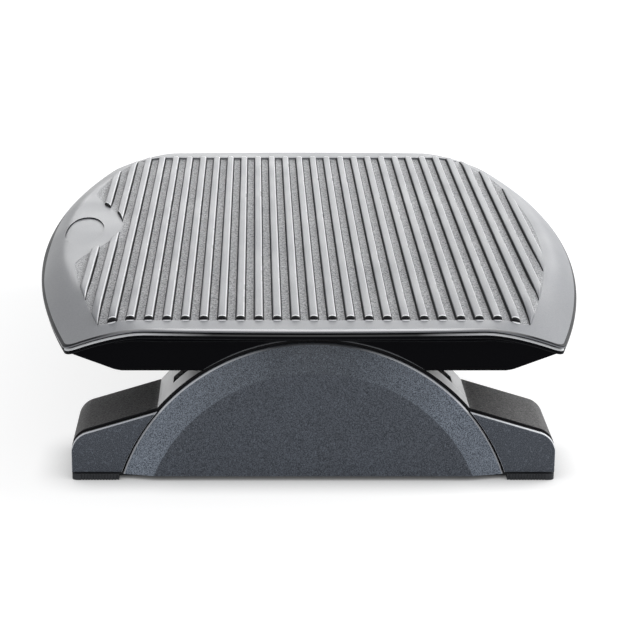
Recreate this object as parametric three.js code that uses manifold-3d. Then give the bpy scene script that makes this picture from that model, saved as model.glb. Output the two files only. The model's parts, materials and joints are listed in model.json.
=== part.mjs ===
// Tilting under-desk footrest: a ribbed platform rocks on two arched end supports.
// Millimetres, +Z up. +Y runs along the tilt axis, which is the long way of the footrest,
// +X runs across it. The origin is on the floor, under the middle of the footrest.
import * as THREE from 'three';
import { mergeVertices } from 'three/addons/utils/BufferGeometryUtils.js';
import Module from 'manifold-3d';

const wasm = await Module();
wasm.setup();

// Tilt: the axis lies under the floor, so that the platform rolls over the arches
const PIVOT_DEPTH = 32.6;
const ARCH_RADIUS = 112.2;
const STOP_DROP = 17.8; // from the arch's radius in to the plane of the wing tops
const STOP_CLEARANCE = 0.3; // left between stop and wing at the end of the tilt

// Platform in plan
const PLATFORM_LENGTH = 450;
const PLATFORM_WIDTH = 329.4;
const PLATFORM_CORNER_WIDTH = 270;
const PLATFORM_END_BOW = 6; // how far the short ends bow out past the corners
const PLATFORM_CORNER_ROUND = 8;
const DECK_OVER_ARCH = 9.7; // from the arch's crest up to the platform's flat top
const ROLL_DROP = 11.5; // how far the long edges roll down below that top
const ROLL_WIDTH = 17.7; // width of the roll at mid length
const ROLL_END_WIDTH = 50; // and at the corners
const rollWaistShare = 2.6; // power of the curve between the two
const rollCurveShare = 1.6; // power of the curve that the long edges roll down on

// Deck
const DECK_SKIN = 3;
const DECK_LIP = 1.4; // thickness of the deck's outer lip, over the tray's flange
const DECK_LIP_REACH = 4;
const WEB = 2;
const WEB_PITCH = 40;
const WEB_COUNT = 5;
const CROSS_WEB_COUNT = 5;
const CROSS_WEB_LENGTH = 176;
const WEB_END_GAP = 5.7; // the stiffening webs stop short of the saddles
const KEY_DEPTH = 2.4; // keys under the deck's edges, which drop into the tray
const KEY_SIDE_INSET = 20.7;
const KEY_SIDE_LENGTH = 120;
const KEY_END_INSET = 16;
const KEY_END_LENGTH = 120;

// Ribbed panel in the deck's top
const RIB_PITCH = 10;
const RIB_WIDTH = 5.3;
const RIB_RISE = 1.8; // above the rim
const RIB_EDGE = 0.6; // chamfer of a rib's long edges
const RIB_END_LAP = 0.4; // the ribs' ends run this far over the rim
const RIB_ROOT = 0.5; // the ribs reach this far below the groove's floor
const GROOVE_DEPTH = 1.2; // below the rim
const PANEL_END_MARGIN = 19; // width of the rim at the short ends
const PANEL_SIDE_MARGIN = 19.7; // at mid length
const PANEL_CORNER_MARGIN = 17.5; // and at the corners, across the platform
const PAD_RADIUS = 120; // smooth pad that bulges from the rim into the panel
const PAD_CREST_INSET = 47.8; // from the platform's long edge to the pad's crest
const OVAL_LENGTH = 70; // blank oval recess on that pad
const OVAL_WIDTH = 24;
const OVAL_SHIFT = 10; // of the oval's middle towards the near end
const OVAL_INSET = 24.7; // from the platform's long edge to the oval's middle
const OVAL_DEPTH = 0.5;

// Tray under the deck
const TRAY_OVER_WING = 0.5; // from the plane of the wing tops to the tray's bottom
const TRAY_WALL = 3;
const TRAY_BEVEL_WIDTH = 31; // from the bevel's foot out to the platform's corner
const TRAY_END_INSET = 12.5; // from the platform's end to the foot of the tray's end wall
const TRAY_END_DRAFT = 2;
const FLANGE_THICK = 3.6;
const FLANGE_REVEAL = 1; // dark line between the deck's lip and the flange
const FLANGE_SIDE_INSET = 0.8;
const FLANGE_END_INSET = 2.6;
const BEVEL_INSET = 3; // from the flange's edge to the bevel under it
const SEAT_GAP = 0.3; // between pieces that rest on each other
const FIT_GAP = 0.4; // between pieces that plug into each other

// Saddles in the tray, which ride on the arches
const SADDLE_CLEARANCE = 0.6;
const SADDLE_WALL = 3;
const SADDLE_FOOT = 20;
const SADDLE_END_PLAY = 1.3; // between the saddle's inner wall and the arch's back
const GLIDE_STRIP = 1.7;
const GLIDE_STRIP_WIDTH = 13;
const GLIDE_STRIP_INSET = 12.5; // from the arch's front and back to the strip's middle
const GLIDE_STRIP_END_GAP = 2.9; // from the saddle's foot, along the arch

// Retaining hooks, which reach through slots in the arches
const HOOK_TO_FOOT = 10.8; // from the hook's middle to the saddle's foot, along the arch
const HOOK_LENGTH = 8;
const HOOK_SHANK = 4.6;
const HOOK_HEAD = 14;
const HOOK_HEAD_THICK = 4;
const HOOK_HEAD_CLEARANCE = 0.7;
const HOOK_FLANGE_LENGTH = 20;
const HOOK_FLANGE_THICK = 2.5;
const HOOK_SCREW_OFFSET = 6.6;
const SLOT_WIDTH = 6;
const SLOT_END_GAP = 1.2;
const HOOK_SEAT_RISE = 0.9; // flat seat for the hook on the saddle's back

// Screws
const SCREW_RADIUS = 1.5;
const SCREW_HEAD_RADIUS = 3.2;
const SCREW_HEAD = 2;
const SCREW_GAP = 0.3;
const SMALL_SCREW_RADIUS = 1.1;
const SMALL_SCREW_HEAD_RADIUS = 2.2;
const SMALL_SCREW_HEAD = 1.4;
const BOSS_RADIUS = 5;
const DECK_SCREW_INSET = 6; // from the foot of the tray's bevel
const DECK_SCREW_SPREAD = 110; // between the screws near mid length
const DECK_SCREW_LENGTH = 14;
const SADDLE_SCREW_INSET = 11; // from the arch's front and back
const SADDLE_SCREW_LENGTH = 9;
const SADDLE_BOSS_HEIGHT = 8;

// Stops under the tray
const STOP_WIDTH = 20;
const STOP_LENGTH = 30;
const STOP_THICK = 2;
const STOP_TO_SCREW = 16; // from the stop's middle out to the deck screw beside it

// Base supports
const PLATFORM_OVERHANG = 10; // of the platform past the base at each end
const WING_REACH = 20.8; // from the arch's radius out to the wing's end
const WING_END_HEIGHT = 25.45; // where the plane of the wing's top meets its end
const SUPPORT_DEPTH = 58;
const SUPPORT_WALL = 3;
const SUPPORT_CLEAR = 4.2; // underside of the mouldings above the floor
const WING_CORNER = 12;
const SUPPORT_WEB = 2.4;
const SUPPORT_WEB_PITCH = 40;
const SUPPORT_WEB_COUNT = 5;
const SUPPORT_WEB_SETBACK = 9; // from the moulding's open front
const WEB_HOOK_CLEARANCE = 1;

// Wing covers
const COVER_THICK = 4;
const COVER_REVEAL = 1.4;
const COVER_EASE = 0.9;
const COVER_LIP = 2;
const COVER_LIP_DEPTH = 5;

// End caps
const CAP_REVEAL = 1.6; // between the cap's rim and the arch's radius
const CAP_BAND = 16.5; // width of the chamfered band, along the radius
const CAP_DISH = 3.8; // depth of that band
const CAP_PROUD = 1.2; // the cap's face stands out of the wing covers by this
const CAP_SKIN = 2.4;
const CAP_CLEAR = 1.2; // the cap's straight lower edge above the floor
const CAP_PLUG = 2.6;
const CAP_PLUG_DEPTH = 8;

// Spine between the supports
const SPINE_WIDTH = 76;
const SPINE_HEIGHT = 32;
const SPINE_WALL = 3;
const SPINE_BOSS = 10; // solid blocks in its sides, which take the end screws
const SPINE_SCREW_INSET = 5;
const SPINE_SCREW_LENGTH = 16;

// Floor pads
const PAD_THICK = 3.4;
const PAD_WIDTH = 49;
const PAD_TONGUE = 2; // how far the pad reaches up into its recess
const PAD_TONGUE_INSET = 3;
const PAD_TONGUE_FRONT = 9; // the tongue starts behind the wing cover
const PAD_CAP_GAP = 1.7; // beside the cap, inboard of which the pad steps back
const PAD_FRONT_STEP = 7;
const PAD_CORNER = 3.5;
const PAD_GROOVE = 1.2;
const PAD_GROOVE_PITCH = 4;
const PAD_GROOVE_DEPTH = 0.8;

// Drawing: steps of the curves and the overrun of a cut
const OVERRUN = 5;
const ARC_STEPS = 36;
const SADDLE_STEPS = 18;
const SIDE_STEPS = 12;
const END_STEPS = 4;
const CAP_SEGMENTS = 96;
const SCREW_SEGMENTS = 8;
const BOSS_SEGMENTS = 8;
const OVAL_SEGMENTS = 28;
const STATIONS = 12;
const rollSampleShares = [0, 0.22, 0.45, 0.7, 1.1];

// Sizes that follow
const ARCH_INNER = ARCH_RADIUS - SUPPORT_WALL;
const SADDLE_RADIUS = ARCH_RADIUS + SADDLE_CLEARANCE;
const SADDLE_OUTER = SADDLE_RADIUS + SADDLE_WALL;
const SADDLE_CREST = SADDLE_OUTER - PIVOT_DEPTH;
const PLATFORM_HEIGHT = ARCH_RADIUS - PIVOT_DEPTH + DECK_OVER_ARCH;
const HALF_LENGTH = PLATFORM_LENGTH / 2;
const HALF_WIDTH = PLATFORM_WIDTH / 2;
const HALF_BASE = HALF_LENGTH - PLATFORM_OVERHANG;
const HALF_BASE_WIDTH = ARCH_RADIUS + WING_REACH;
const ARCH_MIDDLE = HALF_BASE - SUPPORT_DEPTH / 2;
const SUPPORT_BACK = HALF_BASE - SUPPORT_DEPTH;
const SUPPORT_FRONT = HALF_BASE - COVER_THICK - COVER_REVEAL;
const STOP_DISTANCE = ARCH_RADIUS - STOP_DROP; // from the tilt axis to the wing tops
const WING_END = WING_END_HEIGHT + PIVOT_DEPTH;
const TILT_LIMIT = Math.atan2(HALF_BASE_WIDTH, WING_END)
  - Math.acos(STOP_DISTANCE / Math.hypot(HALF_BASE_WIDTH, WING_END)); // slope of the wings
const STOP_FACE = STOP_DISTANCE + STOP_CLEARANCE - PIVOT_DEPTH;
const TRAY_BOTTOM = STOP_DISTANCE - PIVOT_DEPTH + TRAY_OVER_WING;
const TRAY_FLOOR = TRAY_BOTTOM + TRAY_WALL;
const TRAY_FLAT = PLATFORM_CORNER_WIDTH / 2 - TRAY_BEVEL_WIDTH; // half of the flat bottom
const SADDLE_FOOT_BOTTOM = TRAY_FLOOR + SEAT_GAP;
const SADDLE_FOOT_ANGLE = Math.acos((SADDLE_FOOT_BOTTOM + PIVOT_DEPTH) / SADDLE_RADIUS);
const GLIDE_STRIP_SPAN = SADDLE_FOOT_ANGLE - GLIDE_STRIP_END_GAP / SADDLE_RADIUS;
const GLIDE_STRIP_OFFSET = SUPPORT_DEPTH / 2 - GLIDE_STRIP_INSET;
const HOOK_ANGLE = SADDLE_FOOT_ANGLE - HOOK_TO_FOOT / SADDLE_RADIUS;
const SADDLE_SCREW_OFFSET = SUPPORT_DEPTH / 2 - SADDLE_SCREW_INSET;
const SADDLE_INNER_END = SUPPORT_BACK - SADDLE_END_PLAY;
const WEB_LENGTH = 2 * (SADDLE_INNER_END - SADDLE_WALL - WEB_END_GAP);
const CAP_RADIUS = ARCH_RADIUS - CAP_REVEAL;
const CAP_FACE = HALF_BASE + CAP_PROUD;
const FLOOR_TOP = SUPPORT_CLEAR + SUPPORT_WALL;
const BOSS_TOP = TRAY_FLOOR + SCREW_HEAD; // the tray's bosses take the screws' heads

// Colours of the plastics and fittings
const GREY_DECK = { color: 0x8c8f93, roughness: 0.45, metalness: 0 };
const SLATE_BASE = { color: 0x474c55, roughness: 0.6, metalness: 0 };
const BLACK_PLASTIC = { color: 0x111214, roughness: 0.5, metalness: 0 };
const BLACK_RUBBER = { color: 0x1c1c1d, roughness: 0.9, metalness: 0 };
const WHITE_GLIDE = { color: 0xd8d6cf, roughness: 0.4, metalness: 0 };
const STEEL = { color: 0x9a9da1, roughness: 0.35, metalness: 0.9 };

// Solids: a closed three.js geometry becomes a solid that can be joined and cut

function toSolid(geometry) {
  const bare = geometry.clone();
  for (const extra of ['normal', 'uv']) {
    if (bare.getAttribute(extra)) bare.deleteAttribute(extra);
  }
  const welded = mergeVertices(bare);
  const corners = welded.getIndex().array;
  const kept = [];
  for (let i = 0; i < corners.length; i += 3) {
    const [a, b, c] = [corners[i], corners[i + 1], corners[i + 2]];
    if (a !== b && b !== c && c !== a) kept.push(a, b, c);
  }
  const vertProperties = new Float32Array(welded.getAttribute('position').array);
  return new wasm.Manifold(new wasm.Mesh({
    numProp: 3, vertProperties, triVerts: new Uint32Array(kept),
  }));
}

function toGeometry(solid) {
  const shape = solid.getMesh();
  const geometry = new THREE.BufferGeometry();
  geometry.setAttribute('position', new THREE.BufferAttribute(shape.vertProperties, 3));
  geometry.setIndex(new THREE.BufferAttribute(shape.triVerts, 1));
  geometry.computeVertexNormals();
  return geometry;
}

function join(...solids) {
  return solids.reduce((sum, next) => sum.add(next));
}

function cut(solid, ...tools) {
  return tools.reduce((rest, tool) => rest.subtract(tool), solid);
}

function common(...solids) {
  return solids.reduce((rest, next) => rest.intersect(next));
}

// Cuts along curved faces can leave slivers without volume: only the largest body is kept
function whole(solid) {
  return solid.decompose().sort((a, b) => b.volume() - a.volume())[0];
}

// A prism along Z from points in X and Y
function prismZ(points, low, high) {
  const shape = new THREE.Shape(points.map(([x, y]) => new THREE.Vector2(x, y)));
  const geometry = new THREE.ExtrudeGeometry(shape, { depth: high - low, bevelEnabled: false });
  return toSolid(geometry.translate(0, 0, low));
}

// A prism along Y from points in X and Z
function prismY(points, low, high) {
  const shape = new THREE.Shape(points.map(([x, z]) => new THREE.Vector2(x, z)));
  const geometry = new THREE.ExtrudeGeometry(shape, { depth: high - low, bevelEnabled: false });
  return toSolid(geometry.rotateX(Math.PI / 2).translate(0, high, 0));
}

// A prism along X from points in Y and Z
function prismX(points, low, high) {
  const shape = new THREE.Shape(points.map(([y, z]) => new THREE.Vector2(y, z)));
  const geometry = new THREE.ExtrudeGeometry(shape, { depth: high - low, bevelEnabled: false });
  const turn = new THREE.Matrix4().makeBasis(
    new THREE.Vector3(0, 1, 0), new THREE.Vector3(0, 0, 1), new THREE.Vector3(1, 0, 0));
  return toSolid(geometry.applyMatrix4(turn).translate(low, 0, 0));
}

function boxGeometry([x0, x1], [y0, y1], [z0, z1]) {
  const geometry = new THREE.BoxGeometry(x1 - x0, y1 - y0, z1 - z0);
  return geometry.translate((x0 + x1) / 2, (y0 + y1) / 2, (z0 + z1) / 2);
}

function box(x, y, z) {
  return toSolid(boxGeometry(x, y, z));
}

// The two ends of a length about its middle
function span(middle, length) {
  return [middle - length / 2, middle + length / 2];
}

// A round bar along Z
function bar(radius, x, y, low, high, segments = BOSS_SEGMENTS) {
  const geometry = new THREE.CylinderGeometry(radius, radius, high - low, segments);
  return toSolid(geometry.rotateX(Math.PI / 2).translate(x, y, (low + high) / 2));
}

// A loft through rings of X and Z points, one ring at each place along Y. Each of its
// quads is split along its shorter diagonal, so that two layers offset in Z stay parallel
function loftY(places, ringAt) {
  const rings = places.map(ringAt);
  const count = rings[0].length;
  const positions = [];
  rings.forEach((ring, j) => ring.forEach(([x, z]) => positions.push(x, places[j], z)));
  const pointAt = (corner) => new THREE.Vector3().fromArray(positions, corner * 3);
  const index = [];
  for (let j = 0; j + 1 < rings.length; j += 1) {
    for (let i = 0; i < count; i += 1) {
      const [a, b] = [j * count + i, j * count + (i + 1) % count];
      const [c, d] = [a + count, b + count];
      const alongAd = pointAt(a).distanceTo(pointAt(d)) < pointAt(b).distanceTo(pointAt(c));
      index.push(...(alongAd ? [a, d, b, a, c, d] : [a, c, b, b, c, d]));
    }
  }
  const last = (rings.length - 1) * count;
  const lowLid = rings[0].map(([x, z]) => new THREE.Vector2(x, z));
  const highLid = rings.at(-1).map(([x, z]) => new THREE.Vector2(x, z));
  for (const [a, b, c] of THREE.ShapeUtils.triangulateShape(lowLid, [])) index.push(a, b, c);
  for (const [a, b, c] of THREE.ShapeUtils.triangulateShape(highLid, [])) {
    index.push(last + a, last + c, last + b);
  }
  const geometry = new THREE.BufferGeometry();
  geometry.setAttribute('position', new THREE.Float32BufferAttribute(positions, 3));
  geometry.setIndex(index);
  return toSolid(geometry);
}

// Points of an arc about (cx, cz), with angles measured from +Z towards +X
function arc(radius, from, to, cx = 0, cz = -PIVOT_DEPTH, steps = ARC_STEPS) {
  return Array.from({ length: steps + 1 }, (_, i) => {
    const angle = from + (to - from) * i / steps;
    return [cx + radius * Math.sin(angle), cz + radius * Math.cos(angle)];
  });
}

function mirrored(points) {
  return points.map(([x, z]) => [-x, z]).reverse();
}

// A sector of a tube about the tilt axis, as points in X and Z
function sector(inner, outer, from, to, steps = ARC_STEPS) {
  return [...arc(inner, from, to, 0, -PIVOT_DEPTH, steps),
    ...arc(outer, to, from, 0, -PIVOT_DEPTH, steps)];
}

// Half width of a circular arc that narrows from its middle to its corner
function bowedHalf(middle, corner, reach, along) {
  const sagitta = middle - corner;
  const radius = (reach * reach + sagitta * sagitta) / (2 * sagitta);
  return middle - radius + Math.sqrt(radius * radius - along * along);
}

// Outline of the platform in plan, drawn in by the given insets
function platformOutline(sideInset, endInset) {
  const side = HALF_WIDTH - sideInset;
  const cornerX = PLATFORM_CORNER_WIDTH / 2 - sideInset;
  const end = HALF_LENGTH - endInset;
  const cornerY = end - PLATFORM_END_BOW;
  const quarter = [];
  for (let i = 0; i <= END_STEPS; i += 1) {
    const x = (cornerX - PLATFORM_CORNER_ROUND) * i / END_STEPS;
    quarter.push([x, bowedHalf(end, cornerY, cornerX, x)]);
  }
  quarter.push([cornerX - PLATFORM_CORNER_ROUND / 4, cornerY - PLATFORM_CORNER_ROUND / 4]);
  const straight = cornerY - PLATFORM_CORNER_ROUND;
  for (let i = 0; i <= SIDE_STEPS / 2; i += 1) {
    const y = straight * (1 - 2 * i / SIDE_STEPS);
    quarter.push([bowedHalf(side, cornerX, cornerY, y), y]);
  }
  return fourQuarters(quarter);
}

// Mirrors a quarter outline, which runs from the Y axis to the X axis, into a whole one
function fourQuarters(quarter) {
  const right = [...quarter, ...quarter.slice(0, -1).reverse().map(([x, y]) => [x, -y])];
  const left = right.slice(1, -1).reverse().map(([x, y]) => [-x, y]);
  return [...right, ...left].reverse();
}

// Outline of the ribbed panel in plan, without the pad
function panelOutline(grow) {
  const corner = [
    PLATFORM_CORNER_WIDTH / 2 - PANEL_CORNER_MARGIN + grow,
    HALF_LENGTH - PANEL_END_MARGIN + grow,
  ];
  const middle = HALF_WIDTH - PANEL_SIDE_MARGIN + grow;
  const quarter = [[0, corner[1]], corner];
  for (let i = 1; i <= SIDE_STEPS / 2; i += 1) {
    const y = corner[1] * (1 - 2 * i / SIDE_STEPS);
    quarter.push([bowedHalf(middle, corner[0], corner[1], y), y]);
  }
  return fourQuarters(quarter);
}

function sideEdge(y) {
  const along = Math.min(Math.abs(y), HALF_LENGTH);
  return bowedHalf(HALF_WIDTH, PLATFORM_CORNER_WIDTH / 2, HALF_LENGTH - PLATFORM_END_BOW, along);
}

// Where the roll starts, counted from the middle of the platform
function rollStart(y) {
  const middle = HALF_WIDTH - ROLL_WIDTH;
  const corner = PLATFORM_CORNER_WIDTH / 2 - ROLL_END_WIDTH;
  const narrowing = Math.min(1, (Math.abs(y) / HALF_LENGTH) ** rollWaistShare);
  return middle - (middle - corner) * narrowing;
}

// Height of the platform's top surface, without ribs and grooves
function topHeight(x, y) {
  const start = rollStart(y);
  const roll = Math.max(0, (Math.abs(x) - start) / (sideEdge(y) - start));
  return PLATFORM_HEIGHT - ROLL_DROP * roll ** rollCurveShare;
}

// Places across the platform where the top surface is sampled at one place along it
function topSamples(y) {
  const start = rollStart(y);
  const right = rollSampleShares.map((share) => start + share * (sideEdge(y) - start));
  return [...right.map((x) => -x).reverse(), ...right];
}

// Places along the platform, closer together towards the ends
function stationsTo(reach) {
  const end = reach + OVERRUN;
  const turnAt = (i) => Math.PI * (i / STATIONS - 1 / 2);
  return Array.from({ length: STATIONS + 1 }, (_, i) => end * Math.sin(turnAt(i)));
}

// A layer that follows the top surface, between two depths under it
function topLayer(upper, lower) {
  return loftY(stationsTo(HALF_LENGTH), (y) => {
    const xs = topSamples(y);
    const under = xs.map((x) => [x, topHeight(x, y) - lower]);
    const over = xs.map((x) => [x, topHeight(x, y) - upper]).reverse();
    return [...under, ...over];
  });
}

function plan(sideInset, endInset) {
  return prismZ(platformOutline(sideInset, endInset), 0, PLATFORM_HEIGHT + RIB_RISE + OVERRUN);
}

// A turned form about Y, from points in radius and height
function lathe(profile, segments) {
  return new THREE.LatheGeometry(profile.map(([r, h]) => new THREE.Vector2(r, h)), segments);
}

// A screw whose head rests on z = 0, with its shank going down
function screwGeometry(radius, headRadius, head, length, segments = SCREW_SEGMENTS) {
  const profile = [[0, -length], [radius, -length], [radius, 0],
    [headRadius, 0], [headRadius, head], [0, head]];
  return lathe(profile, segments).rotateX(Math.PI / 2);
}

// Pieces go into two groups, the base and the platform that tilts on it

const footrest = new THREE.Group();
const base = new THREE.Group();
const platform = new THREE.Group();
footrest.add(base, platform);

function add(group, name, solid, look) {
  const mesh = new THREE.Mesh(toGeometry(whole(solid)), new THREE.MeshStandardMaterial(look));
  mesh.name = name;
  group.add(mesh);
  return mesh;
}

// The far end repeats the near end, turned half round
const ENDS = [
  { name: 'near', turn: 0, left: 'left', right: 'right' },
  { name: 'far', turn: Math.PI, left: 'right', right: 'left' },
];

function addAtEnds(group, nameOf, solid, look) {
  for (const end of ENDS) {
    add(group, nameOf(end), solid, look).rotation.z = end.turn;
  }
}

// Support: the arch in the middle and a sloping wing on each side

// Outline of a wing in X and Z, on the +X side, drawn in by the given insets
function wingOutline(archRadius, inset) {
  const floor = SUPPORT_CLEAR + inset;
  const wall = HALF_BASE_WIDTH - inset;
  const slope = TILT_LIMIT;
  const top = STOP_DISTANCE - inset;
  const round = WING_CORNER - inset;
  const crest = slope + Math.acos(top / archRadius);
  const foot = Math.acos((floor + PIVOT_DEPTH) / archRadius);
  const cornerX = wall - round;
  const cornerZ = (top - round - cornerX * Math.sin(slope)) / Math.cos(slope) - PIVOT_DEPTH;
  return [
    ...arc(archRadius, foot, crest, 0, -PIVOT_DEPTH, END_STEPS),
    ...arc(round, slope, Math.PI / 2, cornerX, cornerZ, END_STEPS),
    [wall, floor],
  ];
}

function supportOutline() {
  const wing = wingOutline(ARCH_RADIUS, 0).slice(END_STEPS);
  const crest = TILT_LIMIT + Math.acos(STOP_DISTANCE / ARCH_RADIUS);
  return [...mirrored(wing), ...arc(ARCH_RADIUS, -crest, crest).slice(1, -1), ...wing];
}

// The room inside an arch of the given radius, above the floor plate
function archRoom(radius, floor) {
  const foot = Math.acos((floor + PIVOT_DEPTH) / radius);
  return arc(radius, -foot, foot);
}

function slotSector(side) {
  const reach = TILT_LIMIT + HOOK_LENGTH / 2 / ARCH_INNER + SLOT_END_GAP / ARCH_INNER;
  const [from, to] = [side * HOOK_ANGLE - reach, side * HOOK_ANGLE + reach];
  return sector(ARCH_INNER - OVERRUN, ARCH_RADIUS + OVERRUN, from, to, END_STEPS);
}

function screwBore(length) {
  const radius = SCREW_RADIUS + SCREW_GAP;
  return new THREE.CylinderGeometry(radius, radius, length, SCREW_SEGMENTS);
}

function spineScrewPlaces() {
  const x = SPINE_WIDTH / 2 - SPINE_SCREW_INSET;
  const z = FLOOR_TOP + SPINE_HEIGHT / 2;
  return [[-x, z], [x, z]];
}

function padOutline(inset, frontInset = inset) {
  const capFoot = Math.sqrt(CAP_RADIUS ** 2 - (CAP_CLEAR + PIVOT_DEPTH) ** 2);
  const outer = HALF_BASE_WIDTH - inset;
  const front = -HALF_BASE + frontInset;
  const back = -SUPPORT_BACK - inset;
  const inner = HALF_BASE_WIDTH - PAD_WIDTH + inset;
  const step = capFoot + PAD_CAP_GAP + inset;
  return [[step, front], [outer, front], [outer, back], [inner, back],
    [inner, front + PAD_FRONT_STEP], [step, front + PAD_FRONT_STEP]];
}

function mirroredPlan(points) {
  return points.map(([x, y]) => [-x, y]).reverse();
}

function supportSolid() {
  const back = -SUPPORT_BACK;
  const front = -SUPPORT_FRONT;
  const inside = back - SUPPORT_WALL;
  const body = prismY(supportOutline(), front, back);
  const wingRoom = wingOutline(ARCH_RADIUS, SUPPORT_WALL);
  const rooms = [
    prismY(archRoom(ARCH_INNER, FLOOR_TOP), front - OVERRUN, inside),
    prismY(wingRoom, front - OVERRUN, inside),
    prismY(mirrored(wingRoom), front - OVERRUN, inside),
  ];
  const slots = [-1, 1].map((side) => prismY(slotSector(side), ...span(-ARCH_MIDDLE, SLOT_WIDTH)));
  const recessTop = SUPPORT_CLEAR + PAD_TONGUE + SEAT_GAP - (SUPPORT_CLEAR - PAD_THICK);
  const recess = padOutline(PAD_TONGUE_INSET - FIT_GAP, PAD_TONGUE_FRONT - FIT_GAP);
  const recesses = [recess, mirroredPlan(recess)].map((points) => prismZ(points, 0, recessTop));
  const bore = screwBore(SUPPORT_WALL + 2 * OVERRUN).translate(0, back - SUPPORT_WALL / 2, 0);
  const screwHoles = spineScrewPlaces().map(([x, z]) => toSolid(bore.clone().translate(x, 0, z)));
  const webTop = ARCH_INNER - HOOK_HEAD_CLEARANCE - HOOK_HEAD_THICK - WEB_HOOK_CLEARANCE;
  const webField = prismY(archRoom(webTop, FLOOR_TOP - SUPPORT_WALL / 2),
    front + SUPPORT_WEB_SETBACK, inside + SUPPORT_WALL / 2);
  const webs = [];
  for (let i = 0; i < SUPPORT_WEB_COUNT; i += 1) {
    const x = (i - (SUPPORT_WEB_COUNT - 1) / 2) * SUPPORT_WEB_PITCH;
    webs.push(common(webField, box(span(x, SUPPORT_WEB), [-HALF_BASE, 0], [0, ARCH_RADIUS])));
  }
  return cut(join(cut(body, ...rooms), ...webs), ...slots, ...recesses, ...screwHoles);
}

addAtEnds(base, (end) => `${end.name}_support`, supportSolid(), SLATE_BASE);

// Wing covers close the open front of the wings
function coverSolid(side) {
  const pick = side > 0 ? (points) => points : mirrored;
  const outer = -HALF_BASE;
  const inner = outer + COVER_THICK;
  const plate = prismY(pick(wingOutline(ARCH_RADIUS, 0)), outer + COVER_EASE, inner);
  const face = prismY(pick(wingOutline(ARCH_RADIUS, COVER_EASE)), outer, inner);
  const lipY = [inner - SEAT_GAP, -SUPPORT_FRONT + COVER_LIP_DEPTH];
  const lipOut = prismY(pick(wingOutline(ARCH_RADIUS + FIT_GAP, SUPPORT_WALL + FIT_GAP)), ...lipY);
  const hollow = wingOutline(ARCH_RADIUS + FIT_GAP + COVER_LIP, SUPPORT_WALL + FIT_GAP + COVER_LIP);
  const lipIn = prismY(pick(hollow), inner, lipY[1] + OVERRUN);
  return join(plate, face, cut(lipOut, lipIn));
}

addAtEnds(base, (end) => `${end.name}_${end.left}_wing_cover`, coverSolid(-1), SLATE_BASE);
addAtEnds(base, (end) => `${end.name}_${end.right}_wing_cover`, coverSolid(1), SLATE_BASE);

// End cap: a shallow dished disc that plugs into the arch, cut straight along the floor
function capSolid() {
  const face = CAP_FACE;
  const rim = face - CAP_DISH;
  const flat = CAP_RADIUS - CAP_BAND;
  const plugOut = ARCH_INNER - FIT_GAP;
  const plugIn = plugOut - CAP_PLUG;
  const plugEnd = SUPPORT_FRONT - CAP_PLUG_DEPTH;
  const profile = [
    [0, face - CAP_SKIN], [flat, face - CAP_SKIN], [plugIn, rim - CAP_SKIN],
    [plugIn, plugEnd], [plugOut, plugEnd], [plugOut, rim - CAP_SKIN],
    [CAP_RADIUS, rim - CAP_SKIN], [CAP_RADIUS, rim], [flat, face], [0, face],
  ];
  const disc = toSolid(lathe(profile, CAP_SEGMENTS).rotateX(Math.PI).translate(0, 0, -PIVOT_DEPTH));
  const reach = ARCH_RADIUS + OVERRUN;
  const below = -reach - PIVOT_DEPTH;
  const underFloor = box([-reach, reach], [-face - OVERRUN, 0], [below, CAP_CLEAR]);
  const underPlug = box([-reach, reach], [CAP_SKIN - rim, 0], [below, FLOOR_TOP + FIT_GAP]);
  return cut(disc, underFloor, underPlug);
}

addAtEnds(base, (end) => `${end.name}_end_cap`, capSolid(), SLATE_BASE);

// Spine: a two-celled box beam between the supports' back walls
function spineSolid() {
  const reach = SUPPORT_BACK - SEAT_GAP;
  const half = SPINE_WIDTH / 2;
  const [low, high] = [FLOOR_TOP, FLOOR_TOP + SPINE_HEIGHT];
  const outline = [[-half, low], [half, low], [half, high], [-half, high]];
  const wall = SPINE_WALL;
  const cell = (side) => {
    const [a, b] = [side * wall / 2, side * (half - wall)];
    const c = side * (half - SPINE_BOSS);
    const [under, over] = [(low + high - SPINE_BOSS) / 2, (low + high + SPINE_BOSS) / 2];
    const points = [[a, low + wall], [b, low + wall], [b, under], [c, under],
      [c, over], [b, over], [b, high - wall], [a, high - wall]];
    return side > 0 ? points : points.reverse();
  };
  const ports = [];
  for (const [x, z] of spineScrewPlaces()) {
    for (const end of [-1, 1]) {
      ports.push(toSolid(screwBore(2 * SPINE_SCREW_LENGTH).translate(x, end * reach, z)));
    }
  }
  const cells = [-1, 1].map((side) => prismY(cell(side), -reach - OVERRUN, reach + OVERRUN));
  return cut(prismY(outline, -reach, reach), ...cells, ...ports);
}

add(base, 'spine', spineSolid(), SLATE_BASE);

// Each screw stands in its place on its own
spineScrewPlaces().forEach(([x, z], i) => {
  const seat = SUPPORT_BACK + SUPPORT_WALL + SEAT_GAP;
  const screw = screwGeometry(SCREW_RADIUS, SCREW_HEAD_RADIUS, SCREW_HEAD, SPINE_SCREW_LENGTH)
    .rotateX(Math.PI / 2).translate(x, -seat, z);
  addAtEnds(base, (end) => `${end.name}_spine_screw_${i + 1}`, toSolid(screw), STEEL);
});

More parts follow.
